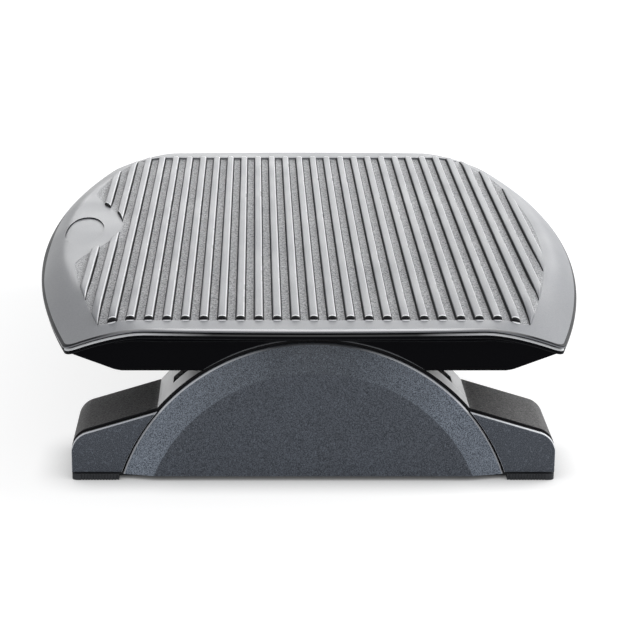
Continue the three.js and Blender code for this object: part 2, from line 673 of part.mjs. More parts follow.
// Floor pads with a tongue in the support's recess and grooves in the sole
function padSolid(side) {
  const pick = side > 0 ? (points) => points : mirroredPlan;
  const sole = prismZ(pick(padOutline(0)), 0, PAD_THICK);
  const tonguePlan = pick(padOutline(PAD_TONGUE_INSET, PAD_TONGUE_FRONT));
  const tongue = prismZ(tonguePlan, PAD_THICK - SEAT_GAP, PAD_THICK + PAD_TONGUE);
  const outer = HALF_BASE_WIDTH;
  const beyond = outer + OVERRUN;
  const corner = [[outer - PAD_CORNER, -OVERRUN], [beyond, -OVERRUN],
    [beyond, PAD_CORNER + OVERRUN], [outer - PAD_CORNER, 0]];
  const length = [-HALF_BASE - OVERRUN, 0];
  const tools = [prismY(side > 0 ? corner : mirrored(corner), ...length)];
  const first = outer - PAD_WIDTH + PAD_GROOVE_PITCH / 2 + PAD_GROOVE / 2;
  for (let x = first; x < outer - PAD_CORNER; x += PAD_GROOVE_PITCH) {
    tools.push(box(span(side * x, PAD_GROOVE), length, [-OVERRUN, PAD_GROOVE_DEPTH]));
  }
  return cut(join(sole, tongue), ...tools);
}

addAtEnds(base, (end) => `${end.name}_${end.left}_floor_pad`, padSolid(-1), BLACK_RUBBER);
addAtEnds(base, (end) => `${end.name}_${end.right}_floor_pad`, padSolid(1), BLACK_RUBBER);

// Deck: a moulded skin with ribs, an oval recess, and webs and bosses underneath

function ribSection(x) {
  const [left, right] = span(x, RIB_WIDTH);
  const root = -GROOVE_DEPTH - RIB_ROOT;
  return [[left, root], [right, root],
    [right, RIB_RISE - RIB_EDGE], [right - RIB_EDGE, RIB_RISE],
    [left + RIB_EDGE, RIB_RISE], [left, RIB_RISE - RIB_EDGE]];
}

function ribs() {
  const reach = Math.floor((HALF_WIDTH - PANEL_SIDE_MARGIN) / RIB_PITCH);
  const all = [];
  for (let k = -reach; k <= reach; k += 1) {
    const section = ribSection(k * RIB_PITCH);
    const reachX = Math.abs(k) * RIB_PITCH + RIB_WIDTH / 2;
    const rolls = (y) => y !== undefined && rollStart(y) < reachX;
    const places = stationsTo(HALF_LENGTH - PANEL_END_MARGIN).filter((y, i, around) => i === 0
      || i === around.length - 1 || [around[i - 1], y, around[i + 1]].some(rolls));
    all.push(loftY(places, (y) => section.map(([x, h]) => [x, topHeight(x, y) + h])));
  }
  return join(...all);
}

function panelField(grow) {
  const high = PLATFORM_HEIGHT + RIB_RISE + OVERRUN;
  const radius = PAD_RADIUS - grow;
  const pad = new THREE.CylinderGeometry(radius, radius, 2 * high, CAP_SEGMENTS)
    .rotateX(Math.PI / 2).translate(PAD_CREST_INSET - HALF_WIDTH - PAD_RADIUS, 0, 0);
  return cut(prismZ(panelOutline(grow), 0, high), toSolid(pad));
}

function ovalRecess() {
  const oval = new THREE.CylinderGeometry(1, 1, 1, OVAL_SEGMENTS).rotateX(Math.PI / 2)
    .scale(OVAL_WIDTH / 2, OVAL_LENGTH / 2, 3 * PLATFORM_HEIGHT)
    .translate(OVAL_INSET - HALF_WIDTH, -OVAL_SHIFT, 0);
  return common(toSolid(oval), topLayer(-OVERRUN, OVAL_DEPTH));
}

function screwHole(x, y, low, high) {
  return bar(SCREW_RADIUS + SCREW_GAP, x, y, low, high, SCREW_SEGMENTS);
}

function deckScrewPlaces() {
  const places = [];
  for (const side of [-1, 1]) {
    const x = side * (TRAY_FLAT - DECK_SCREW_INSET);
    for (const y of [ARCH_MIDDLE, DECK_SCREW_SPREAD / 2]) places.push([x, -y], [x, y]);
  }
  return places;
}

function saddleScrewPlaces() {
  const x = saddleFootEdge() - BOSS_RADIUS;
  const places = [];
  for (const end of [-1, 1]) {
    for (const along of [-SADDLE_SCREW_OFFSET, SADDLE_SCREW_OFFSET]) {
      places.push([-x, end * ARCH_MIDDLE + along], [x, end * ARCH_MIDDLE + along]);
    }
  }
  return places;
}

function saddleFootEdge() {
  const rise = SADDLE_FOOT_BOTTOM + PIVOT_DEPTH;
  return Math.sqrt(SADDLE_RADIUS ** 2 - rise ** 2) + SADDLE_FOOT;
}

function deckSolid() {
  const skin = common(topLayer(0, DECK_SKIN), plan(0, 0));
  const edge = cut(plan(-OVERRUN, -OVERRUN), plan(DECK_LIP_REACH, DECK_LIP_REACH));
  const rebate = common(topLayer(DECK_LIP, DECK_SKIN + OVERRUN), edge);
  const pocket = common(topLayer(-OVERRUN, GROOVE_DEPTH), panelField(0));
  const panel = common(ribs(), panelField(RIB_END_LAP));
  const under = PLATFORM_HEIGHT - DECK_SKIN + SEAT_GAP;
  const webLow = TRAY_FLOOR + SEAT_GAP;
  const webs = [];
  for (let i = 0; i < WEB_COUNT; i += 1) {
    const x = (i - (WEB_COUNT - 1) / 2) * WEB_PITCH;
    webs.push(box(span(x, WEB), span(0, WEB_LENGTH), [webLow, under]));
  }
  for (let i = 0; i < CROSS_WEB_COUNT; i += 1) {
    const y = (i / (CROSS_WEB_COUNT - 1) - 1 / 2) * (WEB_LENGTH - WEB_PITCH / 2);
    webs.push(box(span(0, CROSS_WEB_LENGTH), span(y, WEB), [webLow + WEB, under]));
  }
  const keys = [-1, 1].flatMap((side) => {
    const [x, y] = [side * (HALF_WIDTH - KEY_SIDE_INSET), side * (HALF_LENGTH - KEY_END_INSET)];
    const low = PLATFORM_HEIGHT - DECK_SKIN - KEY_DEPTH;
    return [
      box(span(x, WEB), span(0, KEY_SIDE_LENGTH), [low, under]),
      box(span(0, KEY_END_LENGTH), span(y - side * WEB / 2, WEB), [SADDLE_CREST + FIT_GAP, under]),
    ];
  });
  const bosses = deckScrewPlaces().map(([x, y]) => bar(BOSS_RADIUS, x, y, BOSS_TOP + SEAT_GAP, under));
  const holes = deckScrewPlaces().map(([x, y]) => screwHole(x, y, BOSS_TOP, BOSS_TOP + DECK_SCREW_LENGTH));
  const shell = cut(skin, rebate, pocket, ovalRecess());
  return cut(join(shell, panel, ...keys, ...webs, ...bosses), ...holes);
}

add(platform, 'deck', deckSolid(), GREY_DECK);

// Tray: closes the platform from below and carries the saddles

function traySection(y, inset) {
  const edge = sideEdge(y) - FLANGE_SIDE_INSET;
  const tip = edge - BEVEL_INSET - inset;
  const tipZ = topHeight(edge, y) - DECK_LIP - FLANGE_REVEAL - FLANGE_THICK;
  const flat = TRAY_FLAT - inset / 2;
  return { edge, tip, tipZ, flat };
}

function trayEnds(inset) {
  const foot = HALF_LENGTH - TRAY_END_INSET - inset;
  const head = foot + TRAY_END_DRAFT;
  const [low, high] = [TRAY_BOTTOM - OVERRUN, PLATFORM_HEIGHT + OVERRUN];
  const reach = PLATFORM_WIDTH;
  return prismX([[-foot, low], [foot, low], [head, high], [-head, high]], -reach, reach);
}

function trayBody() {
  const body = loftY(stationsTo(HALF_LENGTH), (y) => {
    const { tip, tipZ, flat } = traySection(y, 0);
    return [[-tip, tipZ], [-flat, TRAY_BOTTOM], [flat, TRAY_BOTTOM], [tip, tipZ],
      [tip, PLATFORM_HEIGHT], [-tip, PLATFORM_HEIGHT]];
  });
  const underDeck = topLayer(DECK_SKIN + SEAT_GAP, PLATFORM_HEIGHT);
  const inside = plan(FLANGE_SIDE_INSET + BEVEL_INSET, FLANGE_END_INSET + BEVEL_INSET);
  return common(body, trayEnds(0), inside, underDeck);
}

function trayRoom() {
  const inner = BEVEL_INSET + TRAY_WALL * 2;
  const room = loftY(stationsTo(HALF_LENGTH), (y) => {
    const { tip, tipZ, flat } = traySection(y, TRAY_WALL);
    const end = tip - inner;
    const slope = (tipZ - TRAY_BOTTOM) / (tip + TRAY_WALL - flat);
    const endZ = TRAY_FLOOR + slope * (end - flat);
    const lid = PLATFORM_HEIGHT + OVERRUN;
    return [[-end, endZ], [-flat, TRAY_FLOOR], [flat, TRAY_FLOOR], [end, endZ], [end, lid], [-end, lid]];
  });
  return common(room, trayEnds(TRAY_WALL));
}

function traySolid() {
  const flangeTop = DECK_LIP + FLANGE_REVEAL;
  const flangePlan = plan(FLANGE_SIDE_INSET, FLANGE_END_INSET);
  const reachIn = DECK_LIP_REACH - FIT_GAP;
  const lip = common(topLayer(flangeTop, flangeTop + FLANGE_THICK), cut(flangePlan, plan(reachIn, reachIn)));
  const shelf = common(topLayer(DECK_SKIN + SEAT_GAP, flangeTop + FLANGE_THICK), flangePlan);
  const archY = [-HALF_LENGTH - OVERRUN, SADDLE_END_PLAY / 2 - SUPPORT_BACK];
  const archTool = prismY(archRoom(SADDLE_RADIUS, -PIVOT_DEPTH / 2), ...archY);
  const farArch = toSolid(toGeometry(archTool).rotateZ(Math.PI));
  const shell = cut(join(trayBody(), lip, shelf), trayRoom(), archTool, farArch);
  const bosses = deckScrewPlaces().map(([x, y]) => bar(BOSS_RADIUS, x, y, TRAY_FLOOR - SEAT_GAP, BOSS_TOP));
  const bores = [];
  const rows = [[deckScrewPlaces(), SCREW_HEAD], [saddleScrewPlaces(), SMALL_SCREW_HEAD]];
  for (const [places, head] of rows) {
    for (const [x, y] of places) {
      const sink = [TRAY_BOTTOM - OVERRUN, TRAY_BOTTOM + head + SEAT_GAP];
      bores.push(screwHole(x, y, sink[0], BOSS_TOP + OVERRUN));
      bores.push(bar(SCREW_HEAD_RADIUS + SCREW_GAP, x, y, ...sink, SCREW_SEGMENTS));
    }
  }
  const pockets = stopPlaces().map(([x, y]) => box(
    span(x, STOP_WIDTH + 2 * SEAT_GAP), span(y, STOP_LENGTH + 2 * SEAT_GAP),
    [TRAY_BOTTOM - OVERRUN, STOP_FACE + STOP_THICK + SEAT_GAP]));
  return cut(join(shell, ...bosses), ...bores, ...pockets);
}

function stopPlaces() {
  const x = TRAY_FLAT - DECK_SCREW_INSET - STOP_TO_SCREW;
  return [[-x, -ARCH_MIDDLE], [x, -ARCH_MIDDLE], [-x, ARCH_MIDDLE], [x, ARCH_MIDDLE]];
}

add(platform, 'tray', traySolid(), BLACK_PLASTIC);

const STOP_NAMES = ['near_left_stop', 'near_right_stop', 'far_left_stop', 'far_right_stop'];
stopPlaces().forEach(([x, y], i) => {
  const stop = box(span(x, STOP_WIDTH), span(y, STOP_LENGTH), [STOP_FACE, STOP_FACE + STOP_THICK]);
  add(platform, STOP_NAMES[i], stop, BLACK_RUBBER);
});

// Saddle: a curved plate on the tray's floor with an inner wall and flat hook seats

function aboutPivot(geometry, angle) {
  return geometry.rotateY(angle).translate(0, 0, -PIVOT_DEPTH);
}

const HOOK_SEAT = SADDLE_OUTER + HOOK_SEAT_RISE;

function hookSeat(angle) {
  const x = span(0, HOOK_FLANGE_LENGTH + 2 * FIT_GAP);
  const y = span(-ARCH_MIDDLE, HOOK_HEAD + 2 * FIT_GAP);
  const seat = boxGeometry(x, y, [SADDLE_RADIUS + SADDLE_CLEARANCE, HOOK_SEAT]);
  return toSolid(aboutPivot(seat, angle));
}

function hookWindow(angle) {
  const x = span(0, HOOK_LENGTH + 2 * FIT_GAP);
  const y = span(-ARCH_MIDDLE, HOOK_SHANK + 2 * FIT_GAP);
  const opening = boxGeometry(x, y, [ARCH_INNER, HOOK_SEAT + OVERRUN]);
  return toSolid(aboutPivot(opening, angle));
}

function hookScrewGeometry(angle, along) {
  const seat = HOOK_SEAT + SEAT_GAP + HOOK_FLANGE_THICK + SEAT_GAP;
  const length = seat - SADDLE_RADIUS - SADDLE_CLEARANCE / 2;
  const screw = screwGeometry(SMALL_SCREW_RADIUS, SMALL_SCREW_HEAD_RADIUS, SMALL_SCREW_HEAD, length)
    .translate(along, -ARCH_MIDDLE, seat);
  return aboutPivot(screw, angle);
}

function hookScrewHole(angle, along) {
  const radius = SMALL_SCREW_RADIUS + SCREW_GAP;
  const [low, high] = [SADDLE_RADIUS + SADDLE_CLEARANCE / 4, HOOK_SEAT + OVERRUN];
  const hole = new THREE.CylinderGeometry(radius, radius, high - low, SCREW_SEGMENTS)
    .rotateX(Math.PI / 2).translate(along, -ARCH_MIDDLE, (low + high) / 2);
  return toSolid(aboutPivot(hole, angle));
}

const HOOK_SIDES = [-HOOK_ANGLE, HOOK_ANGLE];
const HOOK_SCREW_OFFSETS = [-HOOK_SCREW_OFFSET, HOOK_SCREW_OFFSET];
const HOOK_SCREWS = HOOK_SIDES.flatMap((angle) => HOOK_SCREW_OFFSETS.map((along) => [angle, along]));

function glideSector(grow) {
  const side = GLIDE_STRIP_SPAN + grow / SADDLE_RADIUS;
  const inner = ARCH_RADIUS + SEAT_GAP;
  return { side, inner, outer: inner + GLIDE_STRIP + grow };
}

function glidePlaces(grow) {
  return [-GLIDE_STRIP_OFFSET, GLIDE_STRIP_OFFSET]
    .map((offset) => span(offset - ARCH_MIDDLE, GLIDE_STRIP_WIDTH + 2 * grow));
}

function saddleSolid() {
  const foot = saddleFootEdge();
  const bottom = SADDLE_FOOT_BOTTOM;
  const inner = Math.acos((bottom + PIVOT_DEPTH) / SADDLE_RADIUS);
  const outer = Math.acos((bottom + SADDLE_WALL + PIVOT_DEPTH) / SADDLE_OUTER);
  const bend = (radius, from, to) => arc(radius, from, to, 0, -PIVOT_DEPTH, SADDLE_STEPS);
  const outline = [[-foot, bottom], ...bend(SADDLE_RADIUS, -inner, inner), [foot, bottom],
    [foot, bottom + SADDLE_WALL], ...bend(SADDLE_OUTER, outer, -outer), [-foot, bottom + SADDLE_WALL]];
  const frontWall = HALF_LENGTH - TRAY_END_INSET - TRAY_WALL - FIT_GAP;
  const wallY = [-SADDLE_INNER_END, SADDLE_WALL - SADDLE_INNER_END];
  const shell = prismY(outline, -frontWall, wallY[1]);
  const wallTop = bend((SADDLE_RADIUS + SADDLE_OUTER) / 2, -inner, inner);
  const wall = prismY([[SADDLE_FOOT - foot, bottom], ...wallTop, [foot - SADDLE_FOOT, bottom]], ...wallY);
  const bosses = [];
  const holes = [];
  for (const [x, y] of saddleScrewPlaces().filter((place) => place[1] < 0)) {
    bosses.push(bar(BOSS_RADIUS, x, y, bottom, bottom + SADDLE_BOSS_HEIGHT));
    holes.push(screwHole(x, y, bottom - OVERRUN, bottom + SADDLE_BOSS_HEIGHT - SEAT_GAP));
  }
  const grooves = glidePlaces(SEAT_GAP).map(([from, to]) => {
    const { side, outer: top } = glideSector(SEAT_GAP);
    return prismY(sector(SADDLE_RADIUS - SADDLE_CLEARANCE / 2, top, -side, side, SADDLE_STEPS), from, to);
  });
  const seats = HOOK_SIDES.map(hookSeat);
  const windows = HOOK_SIDES.map(hookWindow);
  const screwHoles = HOOK_SCREWS.map(([angle, along]) => hookScrewHole(angle, along));
  return cut(join(shell, wall, ...bosses, ...seats), ...holes, ...grooves, ...windows, ...screwHoles);
}

addAtEnds(platform, (end) => `${end.name}_saddle`, saddleSolid(), BLACK_PLASTIC);

// Glide strips line the saddle and carry the load on the arch
glidePlaces(0).forEach((span, i) => {
  const { side, inner, outer } = glideSector(0);
  const strip = prismY(sector(inner, outer, -side, side, SADDLE_STEPS), ...span);
  addAtEnds(platform, (end) => `${end.name}_${['outer', 'inner'][i]}_glide_strip`, strip, WHITE_GLIDE);
});

// Retaining hooks: a T-shaped foot under the arch, held to the saddle by two screws

function hookSolid() {
  const headTop = ARCH_INNER - HOOK_HEAD_CLEARANCE;
  const flangeLow = HOOK_SEAT + SEAT_GAP;
  const half = HOOK_LENGTH / 2;
  const flangeZ = [flangeLow, flangeLow + HOOK_FLANGE_THICK];
  const head = box([-half, half], span(0, HOOK_HEAD), [headTop - HOOK_HEAD_THICK, headTop]);
  const shank = box([-half, half], span(0, HOOK_SHANK), [headTop - SEAT_GAP, flangeLow + SEAT_GAP]);
  const flange = box(span(0, HOOK_FLANGE_LENGTH), span(0, HOOK_HEAD), flangeZ);
  const holes = HOOK_SCREW_OFFSETS.map((x) => bar(SMALL_SCREW_RADIUS + SCREW_GAP, x, 0,
    flangeLow - OVERRUN, flangeLow + OVERRUN, SCREW_SEGMENTS));
  return cut(join(head, shank, flange), ...holes);
}

for (const end of ENDS) {
  const turned = new THREE.Group();
  turned.rotation.z = end.turn;
  platform.add(turned);
  HOOK_SIDES.forEach((angle, i) => {
    const pivot = new THREE.Group();
    pivot.position.z = -PIVOT_DEPTH;
    pivot.rotation.y = angle;
    turned.add(pivot);
    const hook = add(pivot, `${end.name}_${[end.left, end.right][i]}_hook`, hookSolid(), BLACK_PLASTIC);
    hook.position.y = -ARCH_MIDDLE;
  });
}

HOOK_SCREWS.forEach(([angle, along], i) => {
  const screw = toSolid(hookScrewGeometry(angle, along));
  addAtEnds(platform, (end) => `${end.name}_hook_screw_${i + 1}`, screw, STEEL);
});

// Screws driven from below: long ones into the deck, short ones into the saddles
function addScrewsUp(name, places, head, length) {
  const screw = toSolid(screwGeometry(SCREW_RADIUS, SCREW_HEAD_RADIUS, head, length).rotateX(Math.PI));
  places.forEach(([x, y], i) => {
    add(platform, `${name}_${i + 1}`, screw, STEEL).position.set(x, y, TRAY_BOTTOM + head);
  });
}

addScrewsUp('deck_screw', deckScrewPlaces(), SCREW_HEAD, DECK_SCREW_LENGTH);
addScrewsUp('saddle_screw', saddleScrewPlaces(), SMALL_SCREW_HEAD, SADDLE_SCREW_LENGTH);

export default footrest;
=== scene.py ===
"""Looks of a tilting under desk footrest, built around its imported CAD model.

Lengths inside the forms are millimetres in the model's frame: +Y runs along the tilt
axis to the far end, +X to the right of the photograph and +Z up from the floor. They
turn into metres where a sketch becomes a Blender object. The pieces of an end are made
at the near end, and turned half round for the far one.
"""

from __future__ import annotations

import json
import logging
import math
from collections.abc import Callable, Iterable, Sequence
from dataclasses import dataclass, field
from enum import Enum
from typing import ClassVar

import bmesh
import bpy
from mathutils import Matrix, Vector

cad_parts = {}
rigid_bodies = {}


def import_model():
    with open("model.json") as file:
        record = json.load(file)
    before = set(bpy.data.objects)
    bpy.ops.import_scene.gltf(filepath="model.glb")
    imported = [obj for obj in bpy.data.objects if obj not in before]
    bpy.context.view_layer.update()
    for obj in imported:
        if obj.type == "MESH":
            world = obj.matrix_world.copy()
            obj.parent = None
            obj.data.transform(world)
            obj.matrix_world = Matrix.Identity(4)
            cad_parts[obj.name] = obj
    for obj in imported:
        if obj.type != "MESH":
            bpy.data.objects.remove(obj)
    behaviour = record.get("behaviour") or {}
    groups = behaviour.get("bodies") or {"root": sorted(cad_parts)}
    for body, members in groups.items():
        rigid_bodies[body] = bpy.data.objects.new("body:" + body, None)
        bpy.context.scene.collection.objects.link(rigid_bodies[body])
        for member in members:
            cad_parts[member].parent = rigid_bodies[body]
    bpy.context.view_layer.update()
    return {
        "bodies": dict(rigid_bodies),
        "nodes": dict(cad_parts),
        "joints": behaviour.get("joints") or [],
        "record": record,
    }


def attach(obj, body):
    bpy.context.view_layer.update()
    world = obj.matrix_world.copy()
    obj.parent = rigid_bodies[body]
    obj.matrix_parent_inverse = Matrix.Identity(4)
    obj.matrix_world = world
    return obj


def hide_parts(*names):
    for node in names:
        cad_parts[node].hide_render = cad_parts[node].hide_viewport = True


LOG = logging.getLogger("footrest")
MM = 0.001
QUARTER = math.pi / 2
FOUR_STEPS = (0.0, 0.25, 0.5, 0.75, 1.0)
FIVE_STEPS = (0.0, 0.2, 0.4, 0.6, 0.8, 1.0)
SHARP = 34.0
WELD = 0.0005
TOOL_ROOM = 10.0

Point2 = tuple[float, float]
Point3 = tuple[float, float, float]
Colour = tuple[float, float, float]
Line = Callable[[float], float]


class Body(Enum):
    """CAD bodies that pieces ride on."""

    BASE = "base"
    PLATFORM = "platform"


class End(Enum):
    """The two short ends. The far one is the near one turned half round."""

    NEAR = "near"
    FAR = "far"

    @property
    def turn(self) -> Matrix:
        """Rotation that takes a near piece to this end."""
        return Matrix.Rotation(0.0 if self is End.NEAR else math.pi, 4, "Z")

    def side(self, sign: int) -> str:
        """Name of the side that a near piece of that sign has at this end.

        Args:
            sign: -1 for the near piece's left, +1 for its right.

        Returns:
            "left" or "right", as the CAD nodes are named.
        """
        here = sign if self is End.NEAR else -sign
        return "left" if here < 0 else "right"


# Finishes


@dataclass(frozen=True)
class Finish:
    """Moulded surface: colour, grain, gloss, wear and painted light, with scales in grains per
    metre.

    Wear and painted highlight lie on convex edges or, with painted_light_from, painted light
    grows between two distances from the model's middle. It tints the surface, or with a lift
    only makes it brighter.
    """

    name: str
    colour: Colour
    grain_colour: Colour
    grain_scale: float
    grain_depth: float
    roughness: float
    gloss: float = 0.5
    grain_contrast: float = 0.5
    speckle: float = 0.0
    wear_and_painted_light: float = 0.2
    worn_and_lit: Colour | None = None
    painted_light_from: Point2 | None = None
    lift: float | None = None
    metallic: float = 0.0


# Deck grey. Its convex edges lighten, partly as wear and partly as painted highlight.
DECK_SATIN = Finish("deck_satin", (0.235, 0.242, 0.26), (0.185, 0.191, 0.206), 1300, 0.00003,
                    0.34, gloss=0.37, grain_contrast=0.8, wear_and_painted_light=0.1, worn_and_lit=(0.6, 0.61, 0.63))
DECK_GROOVE = Finish("deck_groove", (0.54, 0.545, 0.56), (0.1, 0.103, 0.11), 1300, 0.0002, 0.5,
                     gloss=0.5, grain_contrast=1.9)
# Painted glint: near-white, on the rounding above each rib's dark end and on the fillet at its
# foot.
RIB_GLINT = Finish("rib_glint", (0.85, 0.86, 0.88), (0.8, 0.8, 0.82), 1500, 0.00001, 0.3)
# Painted highlight along the right side of each rib's crown.
RIB_HIGHLIGHT = Finish("rib_highlight", (0.62, 0.625, 0.64), (0.52, 0.525, 0.54), 1300, 0.00002, 0.3,
                   gloss=0.5)
# Painted shade on the deck's lip: near-black, with a painted highlight that grows towards the
# middle.
LIP_SHADE_AND_HIGHLIGHT = Finish("lip_shade_and_highlight", (0.02, 0.021, 0.024), (0.014, 0.015, 0.017), 1500, 0.00001, 0.45,
                  gloss=0.12, wear_and_painted_light=1.0, worn_and_lit=(0.97, 0.97, 0.98), painted_light_from=(118.0, 70.0))
# Painted shade: near-black on rib flanks and ends, the oval's wall, the supports' front and the
# plates' backs.
PAINTED_SHADE = Finish("painted_shade", (0.009, 0.009, 0.011), (0.006, 0.006, 0.007), 1500, 0.00003, 0.55,
                   gloss=0.1, wear_and_painted_light=0.0)
BASE_SLATE = Finish("base_slate", (0.135, 0.152, 0.182), (0.026, 0.031, 0.04), 2000, 0.0002, 0.5,
                    gloss=0.3, grain_contrast=1.7, speckle=0.4)
# Caps' band with painted shade: darker over the top, brighter towards the sides by its lift.
BASE_BAND = Finish("base_band", (0.15, 0.17, 0.2), (0.024, 0.029, 0.038), 2000, 0.0002, 0.5,
                   gloss=0.3, grain_contrast=1.8, speckle=0.45, painted_light_from=(20.0, 100.0), lift=2.7)
# Painted highlight on the caps' rims and the plates' front edges, growing away from the middle.
BASE_HIGHLIGHT = Finish("base_highlight", (0.12, 0.125, 0.135), (0.1, 0.104, 0.112), 1500, 0.00002, 0.3,
                   gloss=0.5, wear_and_painted_light=1.0, worn_and_lit=(0.8, 0.82, 0.86), painted_light_from=(20.0, 60.0))
# Arch lightened near to white: partly its own grey, partly painted sheen.
BASE_ARCH_SHEEN = Finish("base_arch_sheen", (0.74, 0.745, 0.76), (0.58, 0.585, 0.6), 1100, 0.00003, 0.28,
                   gloss=0.8)
WING_TOP = Finish("wing_top", (0.12, 0.118, 0.118), (0.02, 0.02, 0.021), 1000, 0.0003, 0.6,
                  gloss=0.3, grain_contrast=1.3)
# Black tray. Its convex edges lighten, partly as wear and partly as painted highlight.
BLACK_SHELL = Finish("black_shell", (0.004, 0.004, 0.005), (0.002, 0.002, 0.003), 1500, 0.00003,
                     0.5, gloss=0.03, wear_and_painted_light=0.6, worn_and_lit=(0.1, 0.105, 0.11))
# Painted highlight on the tray's flange edge, growing towards the corners.
FLANGE_HIGHLIGHT = Finish("flange_highlight", (0.006, 0.006, 0.007), (0.004, 0.004, 0.005), 1500, 0.00002,
                     0.4, wear_and_painted_light=1.0, worn_and_lit=(0.95, 0.96, 0.98), painted_light_from=(55.0, 95.0))
# Painted highlight on the chamfer of the tray's arch cut-out.
SHELL_HIGHLIGHT = Finish("shell_highlight", (0.16, 0.165, 0.175), (0.12, 0.125, 0.13), 1500, 0.00002, 0.4)
RUBBER = Finish("rubber", (0.075, 0.078, 0.084), (0.035, 0.037, 0.04), 1100, 0.0001, 0.75,
                gloss=0.2)
GLIDE = Finish("glide", (0.62, 0.6, 0.55), (0.55, 0.53, 0.48), 900, 0.00002, 0.3)
STEEL = Finish("steel", (0.55, 0.56, 0.58), (0.45, 0.46, 0.48), 1200, 0.00002, 0.35,
               metallic=1.0)


def brighter(colour: Colour, gain: float, more: float = 0.0) -> Colour:
    """Colour with its channels scaled and raised, at most 1."""
    return tuple(min(1.0, gain * channel + more) for channel in colour)


class Graph:
    """Small helper round a material's or a world's node tree."""

    edge_radius: float = 0.0006
    edge_span: Point2 = (0.995, 0.9)

    def __init__(self, owner: bpy.types.Material | bpy.types.World) -> None:
        """Clears the owner's tree.

        Args:
            owner: material or world whose nodes are made.
        """
        owner.use_nodes = True
        self.tree = owner.node_tree
        self.tree.nodes.clear()

    def _feed(self, slot: bpy.types.NodeSocket, value: object) -> None:
        """Links a socket to an input, or sets the input to a value."""
        if isinstance(value, bpy.types.NodeSocket):
            self.tree.links.new(value, slot)
        else:
            slot.default_value = (*value, 1.0) if slot.type == "RGBA" else value

    def node(self, kind: str, settings: dict[str, object] | None = None,
             **values: object) -> bpy.types.Node:
        """Adds a node.

        Args:
            kind: its type without the ShaderNode in front.
            settings: attributes of the node.
            values: inputs by name, with underscores for spaces, as values or sockets.

        Returns:
            The new node.
        """
        made = self.tree.nodes.new(f"ShaderNode{kind}")
        for key, value in (settings or {}).items():
            setattr(made, key, value)
        for key, value in values.items():
            self._feed(made.inputs[key.replace("_", " ")], value)
        return made

    def numbered(self, kind: str, settings: dict[str, object], inputs: dict[int, object],
                 output: int = 0) -> bpy.types.NodeSocket:
        """Adds a node whose sockets share their names, and so are told by number.

        Args:
            kind: its type without the ShaderNode in front.
            settings: attributes of the node.
            inputs: values or sockets by the number of the input.
            output: number of the output wanted.

        Returns:
            That output.
        """
        made = self.node(kind, settings)
        for number, value in inputs.items():
            self._feed(made.inputs[number], value)
        return made.outputs[output]

    def math(self, operation: str, one: object, two: object = 0.0) -> bpy.types.NodeSocket:
        """Adds a math node and returns its output."""
        return self.numbered("Math", {"operation": operation}, {0: one, 1: two})

    def blend(self, share: object, one: object, two: object) -> bpy.types.NodeSocket:
        """Mixes two colours by a share and returns the result."""
        return self.numbered("Mix", {"data_type": "RGBA"}, {0: share, 6: one, 7: two}, 2)

    def noise(self, place: bpy.types.NodeSocket, scale: float, detail: float,
              roughness: float = 0.5) -> bpy.types.NodeSocket:
        """Adds a noise texture and returns its strength."""
        return self.node("TexNoise", Vector=place, Scale=scale, Detail=detail,
                         Roughness=roughness).outputs["Fac"]

    def ramp(self, value: object, span: Point2, to: Point2 = (0.0, 1.0)) -> bpy.types.NodeSocket:
        """Maps a span of values to another one, held at its ends, and returns the result."""
        return self.node("MapRange", Value=value, From_Min=span[0], From_Max=span[1],
                         To_Min=to[0], To_Max=to[1]).outputs["Result"]

    def edges(self) -> bpy.types.NodeSocket:
        """Share of wear and painted highlight, 1 on convex edges and 0 on flat faces."""
        bevel = self.node("Bevel", {"samples": 3}, Radius=self.edge_radius).outputs["Normal"]
        flat = self.node("NewGeometry").outputs["Normal"]
        dot = self.numbered("VectorMath", {"operation": "DOT_PRODUCT"}, {0: bevel, 1: flat}, 1)
        return self.ramp(dot, self.edge_span)


